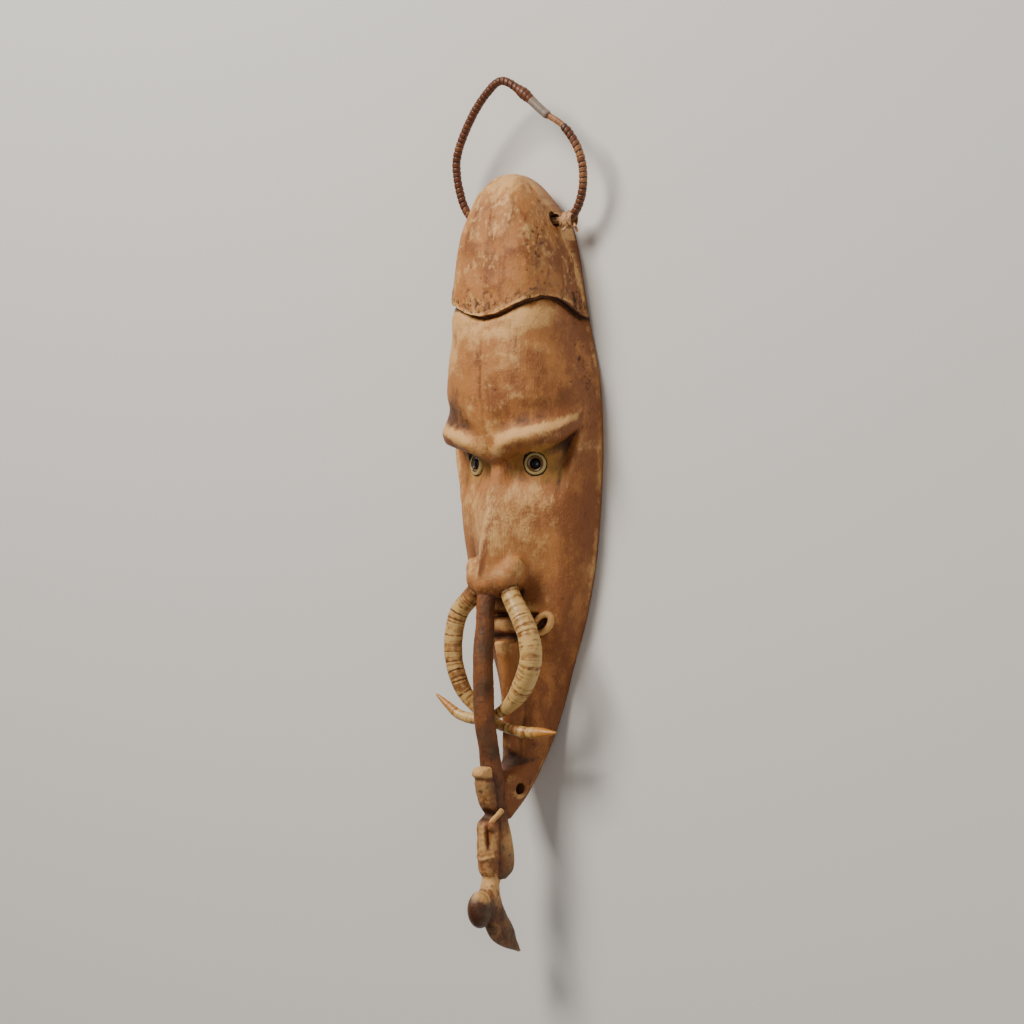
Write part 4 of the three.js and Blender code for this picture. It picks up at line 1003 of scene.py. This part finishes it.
for where, colours in COATS.items():
    for colour, shares in colours.items():
        coats[colour] = np.where(layers[where], mixed(layers, shares), coats[colour])

socket = ease(4, 12, brow_line) * (1 - ease(14 + 0.34 * across, 30 + 0.6 * across, brow_line))
socket = socket * ease(5, 14, across) * (1 - ease(56, 64, across)) * (y > -30) * head
coats["ochre"] = socket * (0.75 + 0.5 * mottle + 0.4 * speckle)
eye_away = spots - spots_at(np.sign(x), 1, 1) * np.array(EYE_AT)
lean = np.sign(x) * EYE_TURN
eye_radius = np.hypot(eye_away[:, 0] * np.cos(lean) - eye_away[:, 2] * np.sin(lean), eye_away[:, 1])
eye_height = eye_away[:, 0] * np.sin(lean) + eye_away[:, 2] * np.cos(lean)
coats["gum"] = (1 - ease(0.5, 1.9, eye_radius - EYE_RADIUS + 0.8 * mottle)) * (np.abs(eye_height) < 7)
coats["gloss"] = 0.9 * crest + 0.35 * beak
crusty = above_cap * band(y, edge_y + 7, 8) * (0.8 + 0.5 * band(signed, -50, 20))
crusty = crusty + above_cap * patch(signed, y, CRUST_AT, [7, 40])
crusty = crusty + 0.55 * ease(66, 74, across) * ease(50, 90, y) + 0.5 * face * band(y, edge_y, 7)
coats["crusty"] = head * crusty * (0.75 + 0.9 * mottle + 0.5 * speckle)
for name, values in coats.items():
    keep(mask.data, name, values)

PALE_WORN_WOOD = (0.70, 0.385, 0.135, 1)
BROWN_WOOD = (0.44, 0.17, 0.042, 1)
RED_BROWN_WOOD = (0.25, 0.078, 0.017, 1)
DARK_PATINA = (0.03, 0.008, 0.003, 1)
OCHRE_PAINT = (0.50, 0.245, 0.045, 1)
MAUVE_CRUST = (0.36, 0.14, 0.06, 1)
BLACK_GUM = (0.006, 0.005, 0.005, 1)
WOOD_ROUGH, GLOSSY_ROUGH = 0.6, 0.25
WOOD_GRAIN_MM = 0.6
SHARP_EDGE = math.radians(50)


def new_finish(name, roughness, metal=0.0):
    """A material with its own roughness, its nodes and its main shader."""
    finish = bpy.data.materials.new(name)
    finish.use_nodes = True
    shader = finish.node_tree.nodes["Principled BSDF"]
    shader.inputs["Roughness"].default_value = roughness
    shader.inputs["Metallic"].default_value = metal
    return finish, finish.node_tree, shader


def stored(tree, name):
    """What the vertices keep under this name."""
    node = tree.nodes.new("ShaderNodeAttribute")
    node.attribute_name = name
    return node.outputs["Fac"]


def grain(tree, across_mm, along_mm, detail=6.0, rough=0.6):
    """Noise on the piece's own coordinates with cells so wide and so long, from 0 to 1."""
    place = tree.nodes.new("ShaderNodeTexCoord")
    stretch = tree.nodes.new("ShaderNodeVectorMath")
    stretch.operation = "MULTIPLY"
    stretch.inputs[1].default_value = (1 / across_mm / MM, 1 / along_mm / MM, 1 / across_mm / MM)
    noise = tree.nodes.new("ShaderNodeTexNoise")
    noise.inputs["Scale"].default_value = 1
    noise.inputs["Detail"].default_value = detail
    noise.inputs["Roughness"].default_value = rough
    tree.links.new(place.outputs["Object"], stretch.inputs[0])
    tree.links.new(stretch.outputs[0], noise.inputs["Vector"])
    return noise.outputs["Fac"]


def between(tree, value, low, high, start=0.0, end=1.0):
    """A smooth change from start to end while the value goes from low to high."""
    node = tree.nodes.new("ShaderNodeMapRange")
    node.interpolation_type = "SMOOTHSTEP"
    for place, number in ((1, low), (2, high), (3, start), (4, end)):
        node.inputs[place].default_value = number
    tree.links.new(value, node.inputs[0])
    return node.outputs[0]


def sum_of(tree, first, second, weight=1.0):
    """The first value plus the second times its weight."""
    node = tree.nodes.new("ShaderNodeMath")
    node.operation = "MULTIPLY_ADD"
    node.inputs[1].default_value = weight
    tree.links.new(second, node.inputs[0])
    tree.links.new(first, node.inputs[2])
    return node.outputs[0]


def laid_over(tree, below, colour, amount):
    """A colour laid over what is below it, as thickly as the amount says."""
    node = tree.nodes.new("ShaderNodeMix")
    node.data_type = "RGBA"
    tree.links.new(amount, node.inputs[0])
    for socket, value in ((node.inputs[6], below), (node.inputs[7], colour)):
        if isinstance(value, tuple):
            socket.default_value = value
        else:
            tree.links.new(value, socket)
    return node.outputs[2]


def roughened(tree, shader, height, depth_mm):
    """Fine relief too small to model, as a bump of so many millimetres."""
    node = tree.nodes.new("ShaderNodeBump")
    node.inputs["Strength"].default_value = 1
    node.inputs["Distance"].default_value = depth_mm * MM
    tree.links.new(height, node.inputs["Height"])
    tree.links.new(node.outputs[0], shader.inputs["Normal"])


def coated(tree, below, colour, name, low, high, noise=None, weight=0.0):
    """A colour laid over what is below it, from nothing to all of it while what the vertices keep under
    the name, plus the noise times its weight, goes from low to high."""
    value = stored(tree, name)
    if noise is not None:
        value = sum_of(tree, value, noise, weight)
    return laid_over(tree, below, colour, between(tree, value, low, high))


carved_wood, tree, shader = new_finish("carved_wood", WOOD_ROUGH)
fine = grain(tree, 1.5, 2.4)
coarse = grain(tree, 6, 9, 8, 0.7)
fibres = grain(tree, 0.9, 22, 4)
uneven = sum_of(tree, sum_of(tree, fine, coarse, 1.0), fibres, 0.4)
crumbs = sum_of(tree, grain(tree, 3.4, 4.2, 6, 0.75), stored(tree, "crusty"), 0.24)
crust_pits = between(tree, crumbs, 0.66, 0.86)
tint = coated(tree, BROWN_WOOD, RED_BROWN_WOOD, "red", 1.28, 2.02, uneven, 1.0)
tint = coated(tree, tint, OCHRE_PAINT, "ochre", 1.0, 1.8, uneven, 0.6)
tint = coated(tree, tint, PALE_WORN_WOOD, "pale", 1.5, 2.4, uneven, 1.1)
tint = laid_over(tree, tint, MAUVE_CRUST, crust_pits)
tint = coated(tree, tint, DARK_PATINA, "dark", 0.85, 1.9, uneven, 0.5)
tint = coated(tree, tint, BLACK_GUM, "gum", 0.4, 0.8, fine, 0.3)
tree.links.new(tint, shader.inputs["Base Color"])
shine = between(tree, stored(tree, "gloss"), 0, 1, WOOD_ROUGH, GLOSSY_ROUGH)
tree.links.new(shine, shader.inputs["Roughness"])
roughened(tree, shader, sum_of(tree, uneven, crust_pits, -1.0), WOOD_GRAIN_MM)
mask.data.materials.clear()
mask.data.materials.append(carved_wood)
mask.data.shade_smooth()
mask.data.set_sharp_from_angle(angle=SHARP_EDGE)
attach(mask, "root")
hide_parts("mask")


# The tusks: two curved boar's tusks, set in the nostrils and crossing beside the trunk. Each has fine
# growth rings across it, a few open cracks and an amber tip; the one on the mask's right is browner.
TUSK_IVORY = (0.64, 0.41, 0.14, 1)
TUSK_STAIN = (0.30, 0.12, 0.03, 1)
TUSK_DARK = (0.045, 0.013, 0.004, 1)
TUSK_AMBER = (0.50, 0.20, 0.03, 1)
TUSK_BROWN = {1: 0.2, -1: 0.4}
TUSK_SEED = 51
TUSK_INSET = -0.25
TUSK_SECTIONS, TUSK_SIDES = 420, 40
TUSK_ROOT_RUN = [4, 20]
TUSK_TIP_SHARE = [0.8, 0.98]
RING_DEPTH = 0.5


def ring_relief(seed, depth):
    """Growth rings: narrow uneven grooves across the tusk, broad swells and a few cracks."""
    def relief(turn, run):
        place = spots_at(6 * np.sin(turn), run, 6 * np.cos(turn))
        rings = -np.maximum(0, cloud(place, [60, 1.5, 60], seed, 2) - 0.1) * depth
        bands = cloud(place, [80, 6, 80], seed + 5, 2) * depth * 0.5
        cracks = np.maximum(0, cloud(place, [14, 1.1, 14], seed + 9, 1) - 0.72) * -depth * 4
        return (rings + bands + cracks) * ease(0, 6, run)
    return relief


tusk_finish, tree, shader = new_finish("tusk", 0.38)
fine = grain(tree, 1.2, 1.2)
tint = coated(tree, TUSK_IVORY, TUSK_STAIN, "stain", 0.45, 1.2, fine, 0.6)
tint = coated(tree, tint, TUSK_DARK, "darkening", 0.5, 1.3, fine, 0.5)
tint = coated(tree, tint, TUSK_AMBER, "amber", 0.1, 1.0)
tree.links.new(tint, shader.inputs["Base Color"])
roughened(tree, shader, fine, 0.12)
for name, stations, side in (("left_tusk", LEFT_TUSK, 1), ("right_tusk", RIGHT_TUSK, -1)):
    seed, brown = TUSK_SEED + side, TUSK_BROWN[side]
    relief = ring_relief(seed, RING_DEPTH * (1 + brown))
    points, faces, run = bar(stations, TUSK_SECTIONS, TUSK_SIDES, TUSK_INSET, relief)
    if side < 0:
        points, faces = mirrored(points, faces)
    tusk = made(name + "_ringed", points, faces)
    length = np.concatenate([np.repeat(run, TUSK_SIDES), [run[0], run[-1]]])
    spots = np.asarray(points)
    smear = cloud(spots, [9, 9, 9], seed + 8, 4)
    wavy = spots_at(0, length + 1.3 * smear)
    stains = {"all": 1, "smear": smear, "flecks": cloud(spots, [2.6, 2.6, 2.6], seed + 6, 3),
              "thin": cloud(wavy, [1, 1.5, 1], seed, 2), "wide": cloud(wavy, [1, 6, 1], seed + 7, 3),
              "root": 1 - ease(*TUSK_ROOT_RUN, length), "tip": ease(*TUSK_TIP_SHARE, length / run[-1])}
    stains["both"] = np.maximum(0, smear + stains["thin"])
    keep(tusk.data, "stain", mixed(stains, {"all": 0.12 + brown, "wide": 0.5, "smear": 0.6, "flecks": 0.6,
                                            "thin": 0.95, "root": 0.6}))
    ringed = mixed(stains, {"thin": 1.5, "flecks": 0.8, "wide": 0.5})
    keep(tusk.data, "darkening", (0.35 + brown) * ringed + mixed(stains, {"root": 0.6, "both": 0.35, "tip": -0.5}))
    keep(tusk.data, "amber", stains["tip"])
    tusk.data.materials.append(tusk_finish)
    tusk.data.shade_smooth()
    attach(tusk, "root")
    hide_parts(name)


# The eyes: discs cut from a shell with a bored middle, each bedded in black gum in its socket, the
# bore filled with a polished black pupil. Their profiles are in [radius, height] from the seat.
SHELL_CREAM = (0.58, 0.43, 0.17, 1)
SHELL_GOLD = (0.20, 0.09, 0.02, 1)
SHELL_LINE = (0.02, 0.012, 0.006, 1)
PUPIL_BLACK = (0.006, 0.006, 0.008, 1)
GOLD_RADIUS = [6.2, 6.5]
LINE_RADIUS = 6.4
LINE_HALF = 0.3
BORE_RIM = [4.4, 4.8]
PUPIL_RADIUS = EYE_BORE - 0.3
EYE_SHARP_EDGE = math.radians(40)
SHELL_PROFILE = [[EYE_BORE, 0], [EYE_RADIUS, 0], [EYE_RADIUS, EYE_THICK - 1],
                 [EYE_RADIUS - 0.3, EYE_THICK - 0.4], [EYE_RADIUS - 0.9, EYE_THICK], [6.6, EYE_THICK],
                 [6.2, EYE_THICK - 0.35], [5.8, EYE_THICK - 0.2], [5.0, EYE_THICK - 0.5],
                 [4.7, EYE_THICK - 0.6], [EYE_BORE + 0.2, EYE_THICK - 0.9], [EYE_BORE, EYE_THICK - 1.4]]
PUPIL_PROFILE = [[0, 0], [PUPIL_RADIUS, 0], [PUPIL_RADIUS, EYE_THICK - 1],
                 [PUPIL_RADIUS - 0.4, EYE_THICK - 0.5], [2.4, EYE_THICK], [1.2, EYE_THICK + 0.35],
                 [0, EYE_THICK + 0.5]]
shell_finish, tree, shader = new_finish("shell", 0.25)
fine = grain(tree, 2.2, 2.2)
tint = coated(tree, SHELL_CREAM, SHELL_GOLD, "inner", 0.45, 0.9, fine, 0.3)
tint = coated(tree, tint, SHELL_LINE, "line", 0.35, 0.8)
tree.links.new(tint, shader.inputs["Base Color"])
pupil_finish, tree, shader = new_finish("dark_gum", 0.12)
shader.inputs["Base Color"].default_value = PUPIL_BLACK
for name, side in (("left", 1), ("right", -1)):
    shell = turned(name + "_shell_ring", SHELL_PROFILE, side)
    pupil = turned(name + "_pupil_bead", PUPIL_PROFILE, side)
    lean = side * EYE_TURN
    away = spots_of(shell.data) - on_side(EYE_AT, side)
    radius = np.hypot(away[:, 0] * np.cos(lean) - away[:, 2] * np.sin(lean), away[:, 1])
    keep(shell.data, "inner", 1 - ease(*GOLD_RADIUS, radius))
    keep(shell.data, "line", band(radius, LINE_RADIUS, LINE_HALF) + 1 - ease(*BORE_RIM, radius))
    for piece, finish, node, slot in ((shell, shell_finish, "_eye_shell", "shell"),
                                      (pupil, pupil_finish, "_eye_pupil", "dark_gum")):
        piece.data.materials.append(finish)
        piece.data.shade_smooth()
        piece.data.set_sharp_from_angle(angle=EYE_SHARP_EDGE)
        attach(piece, "root")
        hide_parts(name + node)




# The handle: a stiff hoop of two cane splints, wound all the way with a strip of split cane but for a
# bare stretch near the top, and bound once with a bluish strip beside a knotted bulge.
HOOP_RADIUS = 3.5
HOOP_LEAN = 0.18
TIE_KNOT = [8.4, 8.2, 7.4]
TIE_STOP = 6.6
HOOP = [[54.3, 232.5], [63, 252], [62.5, 276], [50, 297], [32.4, 309], [8, 329.6],
        [-8, 336.8], [-27, 325.6], [-50.5, 299], [-63, 275], [-61.7, 245], [-56, 232.5]]
HOOP_SECTIONS, HOOP_SIDES = 1150, 28
WRAP_PITCH = 4.3
WRAP_DEPTH = 0.75
BINDING_PITCH = 1.9
BULGE_X, BULGE_HALF, BULGE_HEIGHT = 14, 5, 1.5


def outside_x(y, z):
    """Where the carving's side stands at height z."""
    base, n = girth_z(y), along(FULLNESS, y)
    return half_width(y) * (1 - np.clip((z - base) / (crown_z(y) - base), 0, 1) ** n) ** (1 / n)


def hollow_x(y, z):
    """Where the hollow's side stands at height z."""
    up = np.clip((z - rim_z(y)) / hollow_roof(y), 0, 1)
    return hollow_half(y) * (1 - up ** (2 / HOLLOW_POWER)) ** (HOLLOW_POWER / 2)


knot_x = float(outside_x(HOLE_Y - 0.6 * TIE_KNOT[1], HOLE_Z)) + TIE_KNOT[0] + FIT_GAP
stop_x = float(hollow_x(HOLE_Y + TIE_STOP, HOLE_Z)) - TIE_STOP - FIT_GAP
hoop_line = [[knot_x, HOLE_Y], *HOOP, [-knot_x, HOLE_Y]]
hoop_path = [[x, y, HOLE_Z + HOOP_LEAN * (y - HOLE_Y), HOOP_RADIUS] for x, y in hoop_line]
hoop_x, hoop_y, _ = follow([row[:3] for row in hoop_path], np.linspace(0, 1, HOOP_SECTIONS + 1)).T
upper = ease(290, 296, hoop_y)
bare = upper * ease(34, 37, hoop_x) * (1 - ease(48, 51, hoop_x))
bound = upper * ease(19, 21, hoop_x) * (1 - ease(35, 37, hoop_x))
bulge = upper * band(hoop_x, BULGE_X, BULGE_HALF)


def wound(turn, run):
    """A flat strip wound round and round: its edges dip, each turn a little wider or narrower than the
    last. The bare stretch is thinner and grooved between its two splints."""
    jitter = 0.7 * cloud(spots_at(0, run), [1, 9, 1], 61, 2)
    place = (run / WRAP_PITCH + jitter * 0.5 - turn / (2 * np.pi)) % 1
    strip = -WRAP_DEPTH * np.abs(2 * place - 1) ** 5
    uneven = 0.25 * cloud(spots_at(3 * np.sin(turn), run, 3 * np.cos(turn)), [4, 3, 4], 62, 2)
    fine_place = (run / BINDING_PITCH - turn / (2 * np.pi)) % 1
    binding = -0.3 * np.abs(2 * fine_place - 1) ** 4 + 0.1
    splints = -1.5 + 0.55 * np.abs(np.sin(turn))
    swell = strip + uneven
    swell = swell + bound[:, None] * (binding - strip)
    swell = swell + bare[:, None] * (splints - strip - uneven * 0.6)
    return swell + BULGE_HEIGHT * bulge[:, None]


points, faces, run = bar(hoop_path, HOOP_SECTIONS, HOOP_SIDES, 0.0, wound)
hoop = made("wound_hoop", points, faces)
depth = wound(circle(HOOP_SIDES)[None, :], run[:, None]).ravel()
around_x, around_run, around_bare, around_bound = (np.repeat(values, HOOP_SIDES)
                                                   for values in (hoop_x, run, bare, bound))
light = 0.2 + 0.7 * cloud(spots_at(0, around_run), [1, 7, 1], 63, 3) + 0.5 * ease(56, 66, around_x)
for name, values in (("dip", np.clip(-depth * 2.2 * (1 - around_bare), 0, 1)),
                     ("light", light + 0.5 * around_bare), ("bluish", around_bound)):
    keep(hoop.data, name, np.concatenate([values, values[:1], values[-1:]]))
CANE_DARK = (0.04, 0.011, 0.005, 1)
CANE_MID = (0.13, 0.036, 0.012, 1)
CANE_TAN = (0.40, 0.17, 0.06, 1)
BLUISH_BINDING = (0.25, 0.19, 0.15, 1)
cane, tree, shader = new_finish("wound_cane", 0.45)
fine = grain(tree, 1.4, 1.4)
tint = coated(tree, CANE_MID, CANE_TAN, "light", 0.55, 1.4, fine, 0.8)
tint = coated(tree, tint, BLUISH_BINDING, "bluish", 0.4, 0.8)
tint = coated(tree, tint, CANE_DARK, "dip", 0.3, 1.1, fine, 0.3)
tree.links.new(tint, shader.inputs["Base Color"])
roughened(tree, shader, fine, 0.15)
hoop.data.materials.append(cane)
hoop.data.shade_smooth()
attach(hoop, "root")
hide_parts("handle_hoop")


# The lashings: at each end of the hoop a strip of split cane goes several times through the hole in the
# cap and round the hoop, and its ends are left loose.
KNOT_TURNS, STOP_TURNS = 8, 4
KNOT_STRIP, THROUGH_STRIP, LOOSE_STRIP = [2.6, 0.9], [2.4, 1.4], [2.2, 0.9]
THROUGH_APART = 1.7
LOOSE_ENDS = [[5.5, -9.5, -3], [-3.5, -9, 5], [7.5, -6, 3]]


def strip(line, width, thick, outward):
    """A flat strip along a line of points, its flat side turned outwards: four-cornered rings with
    rounded edges, closed at both ends."""
    line, outward = np.asarray(line, float), np.asarray(outward, float)
    tangent = np.gradient(line, axis=0)
    tangent /= np.linalg.norm(tangent, axis=1, keepdims=True)
    across = np.cross(tangent, outward)
    across /= np.linalg.norm(across, axis=1, keepdims=True)
    up = np.cross(across, tangent)
    turn = circle(8)
    wide, high = np.sign(np.sin(turn)) * np.abs(np.sin(turn)) ** 0.5, np.cos(turn)
    rings = line[:, None] + across[:, None] * (wide * width / 2)[:, None]
    rings = rings + up[:, None] * (high * thick / 2)[:, None]
    return skin(rings, line[0] - tangent[0] * 0.2, line[-1] + tangent[-1] * 0.2)


def gathered(parts):
    """Several skins as one list of points and faces."""
    points, faces = [], []
    for more_points, more_faces in parts:
        faces += [[corner + sum(map(len, points)) for corner in face] for face in more_faces]
        points.append(np.asarray(more_points))
    return np.concatenate(points), faces


def turns_round(middle, size, seed, count):
    """Turns of strip round a knot: tilted ovals, each a little off the last."""
    chance = np.random.default_rng(seed)
    parts = []
    for number in range(count):
        go = np.linspace(0, 2 * np.pi, 40)
        tilt = chance.uniform(-0.5, 0.5) + (0.9 if number % 3 == 0 else 0)
        shift = (number / (count - 1) - 0.5) * size[0] * 1.1
        fit = np.sqrt(max(0.1, 1 - (shift / size[0]) ** 2)) * chance.uniform(0.9, 1.0)
        oval = np.stack([shift + tilt * size[0] * 0.35 * np.cos(go), fit * size[1] * np.cos(go),
                         fit * size[2] * np.sin(go)], -1)
        parts.append(strip(oval + middle, *KNOT_STRIP, oval * [0.3, 1, 1]))
    return parts


LASHING_PALE = (0.56, 0.32, 0.15, 1)
LASHING_BROWN = (0.25, 0.10, 0.035, 1)
split_cane, tree, shader = new_finish("split_cane", 0.6)
fine = grain(tree, 2.0, 2.0)
tint = laid_over(tree, LASHING_PALE, LASHING_BROWN, between(tree, fine, 0.4, 0.7))
tree.links.new(tint, shader.inputs["Base Color"])
roughened(tree, shader, fine, 0.2)
for name, side in (("left_lashing", 1), ("right_lashing", -1)):
    middle = np.array([knot_x, HOLE_Y, HOLE_Z])
    inner = np.array([stop_x, HOLE_Y, HOLE_Z])
    parts = turns_round(middle, np.array(TIE_KNOT) - 1, 71 + side, KNOT_TURNS)
    parts += turns_round(inner, [TIE_STOP - 1.2] * 3, 75 + side, STOP_TURNS)
    for number in range(3):
        lift = (number - 1) * THROUGH_APART
        run_in = np.linspace(0, 1, 12)[:, None]
        through = inner + (middle - inner) * run_in + np.array([0, lift, 1.2 * (number == 1)])
        parts.append(strip(through, *THROUGH_STRIP, np.tile([0, 0.3 * lift, 1.0], (12, 1))))
    for reach in LOOSE_ENDS:
        loose = middle + np.outer(np.linspace(0.35, 1.0, 10), reach)
        loose[:, 0] += 1.5 * np.sin(np.linspace(0, 3, 10))
        parts.append(strip(loose, *LOOSE_STRIP, np.tile([0.3, -0.2, 1.0], (10, 1))))
    points, faces = gathered(parts)
    if side < 0:
        points, faces = mirrored(points, faces)
    lashing = made(name + "_strips", points, faces)
    lashing.data.materials.append(split_cane)
    lashing.data.shade_smooth()
    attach(lashing, "root")
    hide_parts(name)


# The setting: a plain pale floor, large soft lights above, and a camera that looks down on the mask at
# the angle that the face is seen from.
FLOOR_HALF = 9
FLOOR_DROP = 0.0005
FLOOR_PAPER = (0.72, 0.71, 0.69, 1)
LIGHT_AIM = (0, 0, 0.05)
ROOM_GLOW = (1.0, 0.97, 0.93, 1)
ROOM_STRENGTH = 0.16
VIEW_TURN = math.radians(38)
CAMERA_DISTANCE = 3.0
CAMERA_LENS = 131.8
AIM_AT = [6.75, -9.6, 45]
floor_mesh = bpy.data.meshes.new("floor")
floor_corners = [[FLOOR_HALF * x, FLOOR_HALF * y, -FLOOR_DROP]
                 for x, y in ((-1, -1), (1, -1), (1, 1), (-1, 1))]
floor_mesh.from_pydata(floor_corners, [], [[0, 1, 2, 3]])
floor = bpy.data.objects.new("floor", floor_mesh)
bpy.context.scene.collection.objects.link(floor)
floor_paper, tree, shader = new_finish("floor_paper", 0.9)
shader.inputs["Base Color"].default_value = FLOOR_PAPER
floor.data.materials.append(floor_paper)
floor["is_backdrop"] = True


def soft_light(name, spot, size, power, colour):
    """A square soft light at a spot, turned to the middle of the mask."""
    lamp = bpy.data.lights.new(name, "AREA")
    lamp.size, lamp.energy, lamp.color = size, power, colour
    light = bpy.data.objects.new(name, lamp)
    light.location = spot
    light.rotation_euler = (Vector(LIGHT_AIM) - Vector(spot)).to_track_quat("-Z", "Y").to_euler()
    bpy.context.scene.collection.objects.link(light)


soft_light("key", (-0.6, 1.6, 1.8), 1.0, 82, (1.0, 0.94, 0.85))
soft_light("fill", (1.7, -0.3, 1.6), 1.6, 10, (1.0, 0.94, 0.86))
world = bpy.data.worlds.new("room")
world.use_nodes = True
glow = world.node_tree.nodes["Background"]
glow.inputs["Color"].default_value = ROOM_GLOW
glow.inputs["Strength"].default_value = ROOM_STRENGTH
bpy.context.scene.world = world

aim = Vector(((np.array(AIM_AT) + MIDDLE) * MM).tolist())
back = Vector((math.sin(VIEW_TURN), 0, math.cos(VIEW_TURN)))
camera = bpy.data.objects.new("camera", bpy.data.cameras.new("camera"))
camera.data.lens = CAMERA_LENS
camera.location = aim + back * CAMERA_DISTANCE
camera.rotation_mode = "QUATERNION"
up_face = Vector((0, 1, 0))
axes = Matrix((up_face.cross(back), up_face, back)).transposed()
camera.rotation_quaternion = axes.to_quaternion()
bpy.context.scene.collection.objects.link(camera)
bpy.context.scene.camera = camera

low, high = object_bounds()
